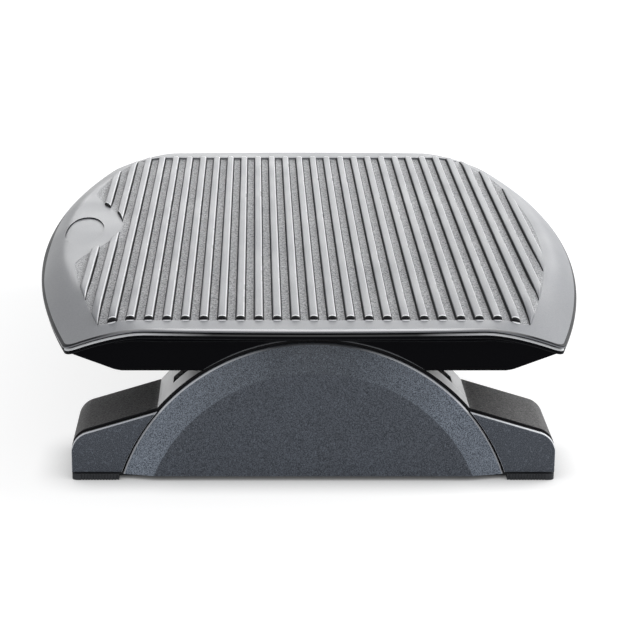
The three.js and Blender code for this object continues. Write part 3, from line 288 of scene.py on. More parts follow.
class Palette:
    """Makes each finish's material once."""

    broad_scale: float = 1 / 60
    broad_span: Point2 = (0.3, 0.7)
    mottle: Point2 = (0.94, 1.06)
    cell_scale: float = 0.6
    grain_span: float = 0.16
    fleck_scale: float = 0.55
    fleck_span: Point2 = (0.6, 0.72)
    fleck_gain: float = 2.1
    worn_and_lit_gain: Point2 = (1.6, 0.03)
    uneven_gloss: float = 0.05
    bump_strength: float = 0.55

    def __init__(self) -> None:
        """Starts with no materials."""
        self.made: dict[str, bpy.types.Material] = {}

    def get(self, finish: Finish) -> bpy.types.Material:
        """Material of a finish.

        Args:
            finish: the surface wanted.

        Returns:
            Its material, built at the first call.
        """
        if finish.name not in self.made:
            self.made[finish.name] = self._moulded(finish)
        return self.made[finish.name]

    def dress(self, obj: bpy.types.Object, *finishes: Finish) -> None:
        """Gives an object the materials of its finishes, in slot order."""
        if obj.data.materials:
            obj.data.materials.clear()
        for finish in finishes:
            obj.data.materials.append(self.get(finish))

    def _moulded(self, finish: Finish) -> bpy.types.Material:
        """Builds grain, mottling, speckles, wear with painted light, and bump for a finish."""
        material = bpy.data.materials.new(finish.name)
        graph = Graph(material)
        place = graph.node("TexCoord").outputs["Object"]
        scale = finish.grain_scale
        fine = graph.noise(place, scale, 3.0, 0.6)
        broad = graph.noise(place, scale * self.broad_scale, 2.0)
        cells = graph.node("TexVoronoi", Vector=place, Scale=scale * self.cell_scale)
        half = self.grain_span / finish.grain_contrast
        tone = graph.blend(graph.ramp(fine, (0.5 - half, 0.5 + half)), finish.grain_colour,
                           finish.colour)
        value = graph.ramp(broad, self.broad_span, self.mottle)
        # Share of wear and painted light, from convex edges or from the distance to the middle.
        wear_and_painted_light = self._wear_and_painted_light(graph, place, finish)
        # A lift turns the share into painted light that brightens the tone.
        if finish.lift:
            value = graph.math("MULTIPLY", value, graph.ramp(wear_and_painted_light, (0.0, 1.0), (1.0, finish.lift)))
        tone = graph.node("HueSaturation", Color=tone, Value=value).outputs["Color"]
        if finish.speckle:
            fleck = graph.noise(place, scale * self.fleck_scale, 1.0)
            fleck = graph.ramp(fleck, self.fleck_span)
            tone = graph.blend(graph.math("MULTIPLY", fleck, finish.speckle), tone,
                               brighter(finish.colour, self.fleck_gain))
        # Without a lift the share tints the tone towards the worn and lit colour: wear and painted
        # highlight.
        if not finish.lift:
            worn_and_lit = finish.worn_and_lit or brighter(finish.colour, *self.worn_and_lit_gain)
            tone = graph.blend(graph.math("MULTIPLY", wear_and_painted_light, finish.wear_and_painted_light), tone, worn_and_lit)
        rough = graph.ramp(broad, self.broad_span, (finish.roughness - self.uneven_gloss,
                                                     finish.roughness + self.uneven_gloss))
        height = graph.math("ADD", fine, graph.math("MULTIPLY", cells.outputs["Distance"], 0.5))
        bump = graph.node("Bump", Height=height, Strength=self.bump_strength,
                          Distance=finish.grain_depth)
        shader = graph.node("BsdfPrincipled", Base_Color=tone, Roughness=rough,
                            Metallic=finish.metallic, Specular_IOR_Level=finish.gloss,
                            Normal=bump.outputs["Normal"])
        graph.node("OutputMaterial", Surface=shader.outputs["BSDF"])
        return material

    @staticmethod
    def _wear_and_painted_light(graph: Graph, place: bpy.types.NodeSocket, finish: Finish) -> bpy.types.NodeSocket:
        """Share of wear and painted highlight on edges, or of painted light by the distance from
        the middle.
        """
        if not finish.painted_light_from:
            return graph.edges()
        across = graph.math("ABSOLUTE", graph.node("SeparateXYZ", Vector=place).outputs["X"])
        return graph.ramp(across, tuple(at * MM for at in finish.painted_light_from))


# Curves and loops


def lerp(a: float, b: float, share: float) -> float:
    """Value at a share of the way from a to b."""
    return a + (b - a) * share


def spread(count: int, ease: float) -> list[float]:
    """Shares from -1 to 1, closer together near both ends.

    Args:
        count: number of shares.
        ease: 0 for even spacing, towards 1 for more crowding at the ends.

    Returns:
        The shares in rising order.
    """
    steps = [2 * i / (count - 1) - 1 for i in range(count)]
    return [lerp(u, math.sin(QUARTER * u), ease) for u in steps]


def arc(radius: float, start: float, stop: float, count: int, height: float = 0.0,
        across: float = 0.0) -> list[Point2]:
    """Points on a circle, with angles counted from +z towards +x.

    Args:
        radius: of the circle.
        start: first angle, in radians.
        stop: last angle, in radians.
        count: number of points.
        height: z of the centre.
        across: x of the centre.

    Returns:
        The points as x and z.
    """
    angles = [lerp(start, stop, i / (count - 1)) for i in range(count)]
    return [(across + radius * math.sin(a), height + radius * math.cos(a)) for a in angles]


def quarter(radius: float, shares: Sequence[float]) -> list[Point2]:
    """Points round an edge that is rounded between two faces.

    Args:
        radius: of the rounding.
        shares: of the way round, 0 on the first face and 1 on the second.

    Returns:
        For each point its distances in from the first face and from the second.
    """
    angles = [QUARTER * share for share in shares]
    return [(radius * (1 - math.cos(a)), radius * (1 - math.sin(a))) for a in angles]


def standing(loop: Iterable[Point2], y: float, sign: int = 1) -> list[Point3]:
    """Loop of x and z, stood up at a distance y towards the near end.

    Args:
        loop: its points.
        y: distance from the model's middle.
        sign: -1 to mirror the loop to the left.

    Returns:
        The points in space.
    """
    return [(sign * x, -y, z) for x, z in loop]


@dataclass(frozen=True)
class Bow:
    """A shallow circular arc that is highest in its middle."""

    middle: float
    corner: float
    reach: float

    @property
    def sag(self) -> float:
        """Height of the middle over the corners."""
        return self.middle - self.corner

    @property
    def radius(self) -> float:
        """Radius of the circle, for a bow that isn't straight."""
        return (self.reach**2 + self.sag**2) / (2 * self.sag)

    @property
    def straight(self) -> bool:
        """Whether the arc is a straight line."""
        return abs(self.sag) < 1e-6

    @property
    def lean(self) -> float:
        """Angle of the arc's tangent at its corner."""
        if self.straight:
            return 0.0
        return math.asin(self.reach * 2 * self.sag / (self.reach**2 + self.sag**2))

    def at(self, along: float) -> float:
        """Height of the arc at a distance from its middle.

        Args:
            along: signed distance from the middle.

        Returns:
            The arc's height there.
        """
        if self.straight:
            return self.middle
        radius = self.radius
        return self.middle - radius + math.sqrt(max(0.0, radius**2 - along**2))

    def reach_at(self, height: float) -> float:
        """Distance from the middle at which the arc has a height.

        Args:
            height: of the arc.

        Returns:
            The distance, at most the arc's reach.
        """
        if height >= self.middle:
            return 0.0
        radius = self.radius
        rise = height - (self.middle - radius)
        return min(self.reach, math.sqrt(max(0.0, radius**2 - rise**2)))


@dataclass(frozen=True)
class Plan:
    """Plan outline between two pairs of bows, with rounded corners.

    The side is half the width along Y and reaches to the corner's y. The end is half the
    length across X and reaches to the corner's x. The left edge mirrors the side unless
    it has a line of its own. All plans have the same count and order of points.
    """

    side: Bow
    end: Bow
    rounding: float
    left_line: Line | None = None

    side_shares: ClassVar[list[float]] = spread(121, 0.72)
    end_shares: ClassVar[list[float]] = spread(61, 0.72)

    def left(self, y: float) -> float:
        """x of the left edge at y."""
        return self.left_line(y) if self.left_line else -self.side.at(y)

    def loop(self) -> list[Point2]:
        """Points of the outline, counter-clockwise from above, from the near right corner."""
        side, end = self.side, self.end
        ends = [f * end.reach for f in self.end_shares[1:-1]]
        sides = [f * side.reach for f in self.side_shares]
        points = [(side.at(y), y) for y in sides]
        points += [(-x, end.at(x)) for x in ends]
        points += [(self.left(-y), -y) for y in sides]
        points += [(x, -end.at(x)) for x in ends]
        return [self._rounded(p) for p in points]

    def sheet(self) -> list[list[Point2]]:
        """Rows of points that fill the outline, from the near end, each from the left."""
        rows = []
        for along in self.side_shares:
            level = along * self.side.reach
            left, right = self.left(level), self.side.at(level)
            row = []
            for across in self.end_shares:
                x = lerp(left, right, (across + 1) / 2)
                y = level + along**5 * (self.end.at(across * self.end.reach) - self.side.reach)
                row.append(self._rounded((x, y)))
            rows.append(row)
        return rows

    def _rounded(self, point: Point2) -> Point2:
        """Moves a point near a sharp corner onto that corner's rounding."""
        radius = self.rounding
        if radius <= 0:
            return point
        sx, sy = math.copysign(1, point[0]), math.copysign(1, point[1])
        spot = Vector((abs(point[0]), abs(point[1])))
        one = Vector((-math.cos(self.side.lean), -math.sin(self.side.lean)))
        two = Vector((-math.sin(self.end.lean), -math.cos(self.end.lean)))
        corner = Vector((self.end.reach, self.side.reach))
        centre = corner + (one + two) * (radius / (1 + one.dot(two)))
        away = spot - centre
        up = Vector((one.y, -one.x))
        out = Vector((-two.y, two.x))
        if away.dot(up) <= 0 or away.dot(out) <= 0 or away.length <= radius:
            return point
        away.normalize()
        return sx * (centre.x + radius * away.x), sy * (centre.y + radius * away.y)


# Forms, in millimetres


@dataclass(frozen=True)
class PlatformForm:
    """Plan and top surface of the platform."""

    half_length: float = 225.0
    half_width: float = 164.7
    corner_x: float = 135.0
    end_bow: float = 6.0
    corner_round: float = 8.0
    height: float = 89.3
    roll_drop: float = 11.5
    roll_width: float = 17.7
    roll_end_width: float = 50.0
    roll_waist_share: float = 2.6
    roll_curve_share: float = 1.6
    roll_ease: float = 0.03

    @property
    def corner_y(self) -> float:
        """Half length at the corners."""
        return self.half_length - self.end_bow

    def top(self, x: float, y: float) -> float:
        """Height of the deck's rim surface.

        Args:
            x: across the platform.
            y: along it.

        Returns:
            z of the surface, ribs and grooves left out.
        """
        share = min(1.0, abs(y) / self.half_length)
        middle = self.half_width - self.roll_width
        corner = self.corner_x - self.roll_end_width
        start = middle - (middle - corner) * share**self.roll_waist_share
        rim = Bow(self.half_width, self.corner_x, self.corner_y)
        edge = rim.at(min(abs(y), self.corner_y))
        roll = min(1.0, max(0.0, (abs(x) - start) / (edge - start)))
        bend = roll**2 * (1 + self.roll_ease) / (roll**2 + self.roll_ease)
        return self.height - self.roll_drop * roll**self.roll_curve_share * bend

    def under(self, line: Iterable[Point2], drop: float) -> list[Point3]:
        """Points of a plan line at a distance under the rim surface."""
        return [(x, y, self.top(x, y) - drop) for x, y in line]

    def plan(self, side: float, end: float) -> Plan:
        """Outline moved in.

        Args:
            side: distance in from the long edges, which the corners' radius loses.
            end: distance in from the short ends.

        Returns:
            The moved outline.
        """
        width, length = self.corner_x - side, self.corner_y - end
        return Plan(Bow(self.half_width - side, width, length),
                    Bow(self.half_length - end, length, width), self.corner_round - side)


PLATFORM = PlatformForm()


@dataclass(frozen=True)
class PanelForm:
    """Ribbed panel in the deck's top, with the smooth pad that bulges into it."""

    end_margin: float = 19.0
    side_margin: float = 19.7
    corner_margin: float = 17.5
    corner_round: float = 1.5
    groove: float = 1.2
    shallow: float = 0.12
    skin: float = 3.0
    pad_radius: float = 120.0
    pad_crest: float = -116.9
    pad_blend: float = 24.0
    fade: float = 9.0
    pitch: float = 10.0
    rib_half: float = 2.65
    rib_side: float = 0.7
    rib_rise: float = 1.8
    shortest_rib: float = 20.0

    @property
    def reach(self) -> float:
        """Half length of the panel."""
        return PLATFORM.half_length - self.end_margin

    @property
    def side(self) -> Bow:
        """Long edge of the panel."""
        return Bow(PLATFORM.half_width - self.side_margin,
                   PLATFORM.corner_x - self.corner_margin, self.reach)

    @property
    def plan(self) -> Plan:
        """Outline of the panel, with straight short ends."""
        end = Bow(self.reach, self.reach, self.side.corner)
        return Plan(self.side, end, self.corner_round, self.left)

    def pad_edge(self, y: float) -> float:
        """x of the pad's edge at y, or minus infinity beside the pad."""
        if abs(y) >= self.pad_radius:
            return -math.inf
        return self.pad_crest - self.pad_radius + math.sqrt(self.pad_radius**2 - y**2)

    def left(self, y: float) -> float:
        """x of the panel's left edge at y, eased where pad and rim meet."""
        rim, pad = -self.side.at(y), self.pad_edge(y)
        if pad == -math.inf:
            return rim
        ease = max(0.0, self.pad_blend - abs(rim - pad)) ** 2 / (4 * self.pad_blend)
        return max(rim, pad) + ease

    def depth(self, x: float, y: float) -> float:
        """Depth of the groove floor, which runs out towards the panel's long edges."""
        level = min(abs(y), self.reach)
        room = self.side.at(level) - x if x > 0 else x - self.left(math.copysign(level, y))
        share = min(1.0, max(0.0, room / self.fade))
        return self.groove * lerp(self.shallow, 1.0, share * share * (3 - 2 * share))

    def rib_spans(self, x: float) -> list[tuple[Line, Line]]:
        """Near and far ends of the ribs whose middle is at x.

        Args:
            x: middle of the rib.

        Returns:
            For each rib a pair of functions that give y of its two ends at a given x.
        """
        def rim(at: float) -> float:
            """y of the panel's edge at x, towards the far end."""
            return self.side.reach_at(abs(at)) if abs(at) > self.side.corner else self.reach

        def pad(at: float) -> float:
            """y of the pad's edge at x, towards the far end."""
            deep = at - self.pad_crest + self.pad_radius
            return math.sqrt(max(0.0, self.pad_radius**2 - deep**2))

        if pad(x - self.rib_half) <= 0 or x > self.pad_crest:
            return [(lambda at: -rim(at), rim)]
        if rim(x) - pad(x) > self.shortest_rib:
            return [(lambda at: -rim(at), lambda at: -pad(at)), (pad, rim)]
        return []


@dataclass(frozen=True)
class BaseForm:
    """Arches, wings and caps of the base, which are centred on the tilt axis."""

    pivot: float = -32.6
    arch: float = 112.2
    wing_plane: float = 94.4
    slope: float = math.radians(17)
    wall: float = 133.0
    corner: float = 12.0
    clear: float = 4.2
    back: float = 157.0
    front: float = 209.6
    plate: Point2 = (211.0, 215.0)
    plate_drop: float = 0.7
    plate_ease: float = 0.5
    hollow_steps: int = 33
    hump_steps: int = 65
    bend_steps: int = 13
    top_steps: int = 12
    cap: float = 110.6
    cap_flat: float = 94.1
    cap_rim: float = 212.4
    cap_face: float = 216.2
    cap_foot: float = 2.6
    slot_y: float = 186.0
    slot_width: float = 11.0
    slot_span: Point2 = (math.radians(4.3), math.radians(43.7))

    def wing_top(self, inset: float, arch: float, drop: float = 0.0) -> list[Point2]:
        """Right wing's top from its inner corner to the foot of its outer wall.

        Args:
            inset: distance in from the wing's own outline.
            arch: radius on which the inner corner lies.
            drop: further distance down from the sloping top.

        Returns:
            The line's points as x and z.
        """
        plane = self.wing_plane - inset - drop
        inner = self.slope + math.acos(plane / arch)
        start = (arch * math.sin(inner), self.pivot + arch * math.cos(inner))
        rounding = self.corner - inset
        x = self.wall - self.corner
        up = (plane - rounding - x * math.sin(self.slope)) / math.cos(self.slope)
        bend = arc(rounding, self.slope, QUARTER, self.bend_steps, up + self.pivot, x)
        shares = [i / self.top_steps for i in range(self.top_steps)]
        flank = [(lerp(start[0], bend[0][0], share), lerp(start[1], bend[0][1], share))
                 for share in shares]
        return [*flank, *bend, (self.wall - inset, self.clear + inset)]

    def support_loop(self, inset: float = 0.0) -> list[Point2]:
        """Clockwise outline of a support, seen from its own end, moved in by inset."""
        arch = self.arch - inset
        wing = self.wing_top(inset, arch)
        crest = self.slope + math.acos((self.wing_plane - inset) / arch)
        hump = arc(arch, -crest, crest, self.hump_steps, self.pivot)
        return [*[(-x, z) for x, z in reversed(wing)], *hump[1:-1], *wing]

    def plate_loop(self, inset: float = 0.0) -> list[Point2]:
        """Clockwise outline of the right wing's front plate, moved in by inset."""
        arch = self.arch - self.plate_ease + inset
        foot = math.acos((self.clear + inset - self.pivot) / arch)
        crest = self.slope + math.acos((self.wing_plane - self.plate_drop - inset) / arch)
        hollow = arc(arch, foot, crest, self.hollow_steps, self.pivot)
        return [*hollow, *self.wing_top(inset, arch, self.plate_drop)[1:]]


PANEL = PanelForm()
BASE = BaseForm()


# Sketches

Choice = Callable[[int, int], Finish | None]


@dataclass
class Sketch:
    """Points in millimetres and faces with finishes, on the way to a Blender object."""

    name: str
    finishes: tuple[Finish, ...] = ()
    points: list[Point3] = field(default_factory=list)
    faces: list[tuple[int, ...]] = field(default_factory=list)
    paints: list[int] = field(default_factory=list)

    def ring(self, points: Iterable[Point3]) -> list[int]:
        """Adds points and returns their indices."""
        first = len(self.points)
        self.points.extend(points)
        return list(range(first, len(self.points)))

    def face(self, corners: Iterable[int], finish: Finish | None = None) -> None:
        """Adds one face, in one of the sketch's finishes or else in its first."""
        self.faces.append(tuple(corners))
        self.paints.append(self.finishes.index(finish) if finish else 0)

    def loft(self, lines: Sequence[Sequence[Point3]], finish: Finish | Choice | None = None,
             closed: bool = True) -> list[list[int]]:
        """Adds lines of points and joins each to the next one with quads.

        Args:
            lines: all with the same number of points.
            finish: of the quads, or a function that gives it for a line and a corner.
            closed: whether the last point of a line joins its first.

        Returns:
            The indices of each line's points.
        """
        made = [self.ring(line) for line in lines]
        for k, (one, two) in enumerate(zip(made, made[1:])):
            for i in range(len(one) if closed else len(one) - 1):
                j = (i + 1) % len(one)
                found = finish(k, i) if callable(finish) else finish
                self.face((one[i], one[j], two[j], two[i]), found)
        return made

    def close(self, made: Sequence[Sequence[int]], first: Finish | None = None,
              last: Finish | None = None) -> None:
        """Closes a loft with a face on its first line and one on its last."""
        self.face(made[0], first)
        self.face(reversed(made[-1]), last)

    def build(self, palette: Palette | None = None, sharp: float = SHARP) -> bpy.types.Object:
        """Makes the Blender object, in metres, with smooth faces and sharp edges.

        Args:
            palette: where its materials come from, or None for a tool.
            sharp: angle in degrees over which an edge stays sharp.

        Returns:
            The new object, linked to the scene.
        """
        mesh = bpy.data.meshes.new(self.name)
        mesh.from_pydata([Vector(p) * MM for p in self.points], [], self.faces)
        mesh.polygons.foreach_set("material_index", self.paints)
        shape = bmesh.new()
        shape.from_mesh(mesh)
        bmesh.ops.remove_doubles(shape, verts=shape.verts, dist=WELD * MM)
        bmesh.ops.dissolve_degenerate(shape, edges=shape.edges, dist=1e-9)
        bmesh.ops.recalc_face_normals(shape, faces=shape.faces)
        shape.to_mesh(mesh)
        shape.free()
        smooth(mesh, sharp)
        made = add(self.name, mesh)
        if palette:
            palette.dress(made, *self.finishes)
        LOG.info("%s: %d faces", self.name, len(mesh.polygons))
        return made


def add(name: str, data: bpy.types.ID) -> bpy.types.Object:
    """Adds an object to the scene.

    Args:
        name: of the object.
        data: its mesh, lamp or camera.

    Returns:
        The new object.
    """
    made = bpy.data.objects.new(name, data)
    bpy.context.scene.collection.objects.link(made)
    return made


def smooth(mesh: bpy.types.Mesh, sharp: float) -> None:
    """Shades a mesh smooth except across edges over an angle in degrees."""
    mesh.shade_smooth()
    mesh.set_sharp_from_angle(angle=math.radians(sharp))


def carve(target: bpy.types.Object, cutters: Sequence[bpy.types.Object]) -> None:
    """Cuts closed tools out of an object and removes them.

    Args:
        target: object that is cut.
        cutters: the tools.
    """
    for cutter in cutters:
        change = target.modifiers.new("cut", "BOOLEAN")
        change.operation = "DIFFERENCE"
        change.solver = "EXACT"
        change.object = cutter
    bpy.context.view_layer.update()
    graph = bpy.context.evaluated_depsgraph_get()
    mesh = bpy.data.meshes.new_from_object(target.evaluated_get(graph))
    target.modifiers.clear()
    target.data = mesh
    smooth(mesh, SHARP)
    for cutter in cutters:
        bpy.data.objects.remove(cutter)


def place(near: bpy.types.Object, word: str, node: str, slot: str, sign: int = 0) -> None:
    """Puts copies of a near piece at both ends, in place of nodes of the base.

    Args:
        near: the piece at the near end, which is removed afterwards.
        word: last words of the copies' names.
        node: last words of the CAD nodes' names.
        slot: the record's material slot, which is not used.
        sign: -1 or +1 for a piece on one side, which its names say.
    """
    for end in End:
        start = f"{end.value}_{end.side(sign)}" if sign else end.value
        mesh = near.data.copy()
        mesh.transform(end.turn)
        mesh.name = f"{start}_{word}"
        piece = add(mesh.name, mesh)
        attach(piece, Body.BASE.value)
        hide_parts(f"{start}_{node}")
    bpy.data.objects.remove(near)


# Sub-assemblies


@dataclass
class Deck:
    """The grey top: a rim round a grooved panel, its ribs and the blank oval."""

    palette: Palette
    lip: float = 1.4
    lip_reach: float = 4.0
    edge_round: float = 0.7
    edge_flat: float = 1.2
    wall_lean: float = 0.2
    panel_edge: tuple[Point2, ...] = ((0.0, 1.0), (0.03, 0.25), (0.12, 0.07), (0.35, 0.0))
    band_shares: tuple[float, ...] = (0.07, 0.14, 0.22, 0.3, 0.38, 0.46, 0.54, 0.62, 0.7, 0.78,
                                      0.86, 0.93)
    oval_centre: Point2 = (-140.0, -10.0)
    oval_half: Point2 = (12.0, 35.0)
    oval_depth: float = 0.8
    oval_wall: float = 4.8
    oval_shares: tuple[float, ...] = (0.0, 0.35, 0.65, 0.85, 1.0)
    oval_steps: int = 72
    crown_half: float = 2.2
    crown_steps: int = 12
    crown_highlight_from: int = 9
    flank_top: float = 0.9
    root_depth: float = 0.4
    root_reach: float = 0.25
    root_rise: float = 0.03
    dome: tuple[float, ...] = (0.0, 0.4, 1.0, 1.7, 2.7, 4.0)
    dome_rise: tuple[float, ...] = (0.5, 0.78, 0.91, 0.97, 0.99, 1.0)
    # Stations of a square end in painted shade; the next one takes a painted glint.
    dome_dark: int = 4
    rib_step: float = 9.0
    square_within: float = 0.1
    foot_half: float = 2.2
    foot_line: tuple[Point2, ...] = ((-0.3, 0.0), (1.7, 0.02), (1.1, 0.1), (0.4, 0.16),
                                     (-0.3, 0.18))
    foot_low: float = 0.3
    foot_steps: int = 9

    def build(self) -> None:
        """Makes the moulding and the ribs and puts them in place of the CAD deck."""
        moulding = self._moulding()
        carve(moulding, [self._oval()])
        for piece in (moulding, self._ribs()):
            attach(piece, Body.PLATFORM.value)
            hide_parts("deck")

    def _moulding(self) -> bpy.types.Object:
        """Rim, lip, groove floor and underside as one closed mesh."""
        sketch = Sketch("deck_moulding", (DECK_SATIN, DECK_GROOVE, PAINTED_SHADE, LIP_SHADE_AND_HIGHLIGHT))
        inner = PANEL.plan.loop()
        outer = PLATFORM.plan(0.0, 0.0).loop()

        def between(share: float, off: float = 0.0) -> list[Point2]:
            """Loop at a share and an offset of the way from the panel to the outline."""
            shares = [share + off / math.dist(a, b) for a, b in zip(inner, outer)]
            return [(lerp(a[0], b[0], at), lerp(a[1], b[1], at))
                    for a, b, at in zip(inner, outer, shares)]

        def rim(inset: float, drop: float) -> list[Point3]:
            """The platform's outline, moved in and lowered."""
            return PLATFORM.under(PLATFORM.plan(inset, inset).loop(), drop)

        rings = [[(x, y, PLATFORM.top(x, y) - share * PANEL.depth(*at))
                  for (x, y), at in zip(between(0, off), inner)] for off, share in self.panel_edge]
        rings += [PLATFORM.under(between(share), 0.0) for share in self.band_shares]
        rings.append(PLATFORM.under(between(1, -self.edge_flat), 0.0))
        lip_from = len(rings) - 2
        rings += [rim(off, drop) for drop, off in quarter(self.edge_round, FOUR_STEPS)]
        lip_to = len(rings) - 1
        rings += [rim(0.0, self.lip), rim(self.lip_reach, self.lip),
                  rim(self.lip_reach + self.wall_lean, PANEL.skin),
                  PLATFORM.under(inner, PANEL.skin)]
        # Painted shade on the lip's band and rounding, with a painted highlight towards the
        # middle.
        sketch.loft(rings, lambda k, _: LIP_SHADE_AND_HIGHLIGHT if lip_from <= k < lip_to else None)
        sheet = PANEL.plan.sheet()
        floor = [[(x, y, PLATFORM.top(x, y) - PANEL.depth(x, y)) for x, y in row] for row in sheet]
        sketch.loft(floor, DECK_GROOVE, closed=False)
        sketch.loft([PLATFORM.under(row, PANEL.skin) for row in sheet], closed=False)
        return sketch.build(self.palette)

    def _oval(self) -> bpy.types.Object:
        """Tool whose bottom follows the rim surface under the oval."""
        sketch = Sketch("oval_tool", (DECK_SATIN, DECK_GROOVE, PAINTED_SHADE))
        (x, y), (wide, long) = self.oval_centre, self.oval_half
        angles = [math.tau * i / self.oval_steps for i in range(self.oval_steps)]
        rings = [PLATFORM.under([(x + wide * share * math.cos(a), y + long * share * math.sin(a))
                                 for a in angles], self.oval_depth) for share in self.oval_shares]
        wall = len(rings) - 1
        rings.append([(x, y, z + self.oval_wall) for x, y, z in rings[wall]])
        rings.append([(*self.oval_centre, PLATFORM.height + TOOL_ROOM)] * self.oval_steps)
        # Painted shade on the oval's wall.
        sketch.loft(rings, lambda k, _: PAINTED_SHADE if k == wall else None)
        return sketch.build()

    def _section(self) -> list[tuple[float, float, Finish]]:
        """Rib section from left to right: offset, height over the rim, and finish."""
        half, side, rise = self.crown_half, PANEL.rib_side, PANEL.rib_rise
        crown = []
        for i in range(1, self.crown_steps):
            angle = math.pi * i / self.crown_steps
            # Painted highlight on the crown's right side.
            crown.append((-half * math.cos(angle), side + (rise - side) * math.sin(angle),
                          RIB_HIGHLIGHT if i >= self.crown_highlight_from else DECK_SATIN))
        # Painted shade on the flanks and on a root line along their feet.
        foot = PANEL.rib_half + self.root_reach
        flank = [(-foot, -PANEL.groove - self.root_depth, PAINTED_SHADE),
                 (-foot, -PANEL.groove + self.root_rise, PAINTED_SHADE),
                 (-half, side * self.flank_top, PAINTED_SHADE)]
        return [*flank, *crown, *[(-x, z, finish) for x, z, finish in reversed(flank)]]

    def _ribs(self) -> bpy.types.Object:
        """All ribs, each a lofted bar that follows the surface and domes at its ends."""
        sketch = Sketch("deck_ribs", (DECK_SATIN, PAINTED_SHADE, RIB_GLINT, RIB_HIGHLIGHT))
        count = int(PANEL.side.middle // PANEL.pitch)
        for i in range(-count, count + 1):
            x = i * PANEL.pitch
            for near, far in PANEL.rib_spans(x):
                self._rib(sketch, x, near, far)
                for sign, end in ((-1, near), (1, far)):
                    if abs(abs(end(x)) - PANEL.reach) < 1:
                        self._foot(sketch, x, end(x), sign)
        return sketch.build(self.palette, sharp=40)

    def _rib(self, sketch: Sketch, x: float, near: Line, far: Line) -> None:
        """Adds one rib between two ends that may run askew.

        Args:
            sketch: sketch that takes it.
            x: middle of the rib.
            near: y of its near end at a given x.
            far: y of its far end at a given x.
        """
        section = self._section()
        root = section[0][1]
        room = self.dome[-1]
        middle = max(2, int((far(x) - near(x)) / self.rib_step))
        stations = [(d, None, s) for d, s in zip(self.dome, self.dome_rise)]
        stations += [(None, (j + 1) / (middle + 1), 1.0) for j in range(middle)]
        stations += [(-d, None, s) for d, _, s in reversed(stations[:len(self.dome)])]
        askew = [abs(end(x + 1) - end(x - 1)) >= self.square_within for end in (near, far)]
        square = (not askew[0] or near(x) > 0, not askew[1])
        rings = []
        for k, (off, share, rise) in enumerate(stations):
            ring = []
            for dx, dz, _ in section:
                at = x + dx
                low, high = near(at), far(at)
                if share is not None:
                    y = lerp(low + room, high - room, share)
                else:
                    y = (low if k < len(stations) / 2 else high) + off
                z = root + (dz - root) * rise if dz > 0 else dz
                ring.append((at, y, PLATFORM.top(at, y) + z))
            rings.append(ring)
        last = len(rings) - 2

        def finish(k: int, j: int) -> Finish:
            """Finish after station k and corner j: painted shade on flanks and ends, a painted
            glint above ends.
            """
            if j == len(section) - 1 or section[j][2] is section[j + 1][2] is PAINTED_SHADE:
                return PAINTED_SHADE
            from_end, ended = (k, square[0]) if k < last - k else (last - k, square[1])
            if ended and from_end <= self.dome_dark:
                return PAINTED_SHADE if from_end < self.dome_dark else RIB_GLINT
            return DECK_SATIN if section[j][2] is PAINTED_SHADE else section[j][2]

        sketch.close(sketch.loft(rings, finish), PAINTED_SHADE, PAINTED_SHADE)

    def _foot(self, sketch: Sketch, x: float, y: float, sign: int) -> None:
        """Adds the small fillet at the foot of a rib's end, painted with a glint.

        Args:
            sketch: sketch that takes it.
            x: middle of the rib.
            y: of the rib's end.
            sign: -1 at the near end, +1 at the far one.
        """
        rings = []
        for out, up in self.foot_line:
            ring = []
            for width, bulge in arc(1.0, QUARTER, -QUARTER, self.foot_steps):
                at = x + self.foot_half * width
                on = y + sign * (out * bulge if out > 0 else out)
                height = PLATFORM.top(at, on) + up * lerp(self.foot_low, 1.0, bulge)
                ring.append((at, on, height))
            rings.append(ring)
        made = sketch.loft([*rings, rings[0]], RIB_GLINT, closed=False)
        for side in (0, -1):
            sketch.face([ring[side] for ring in made[:-1]], RIB_GLINT)


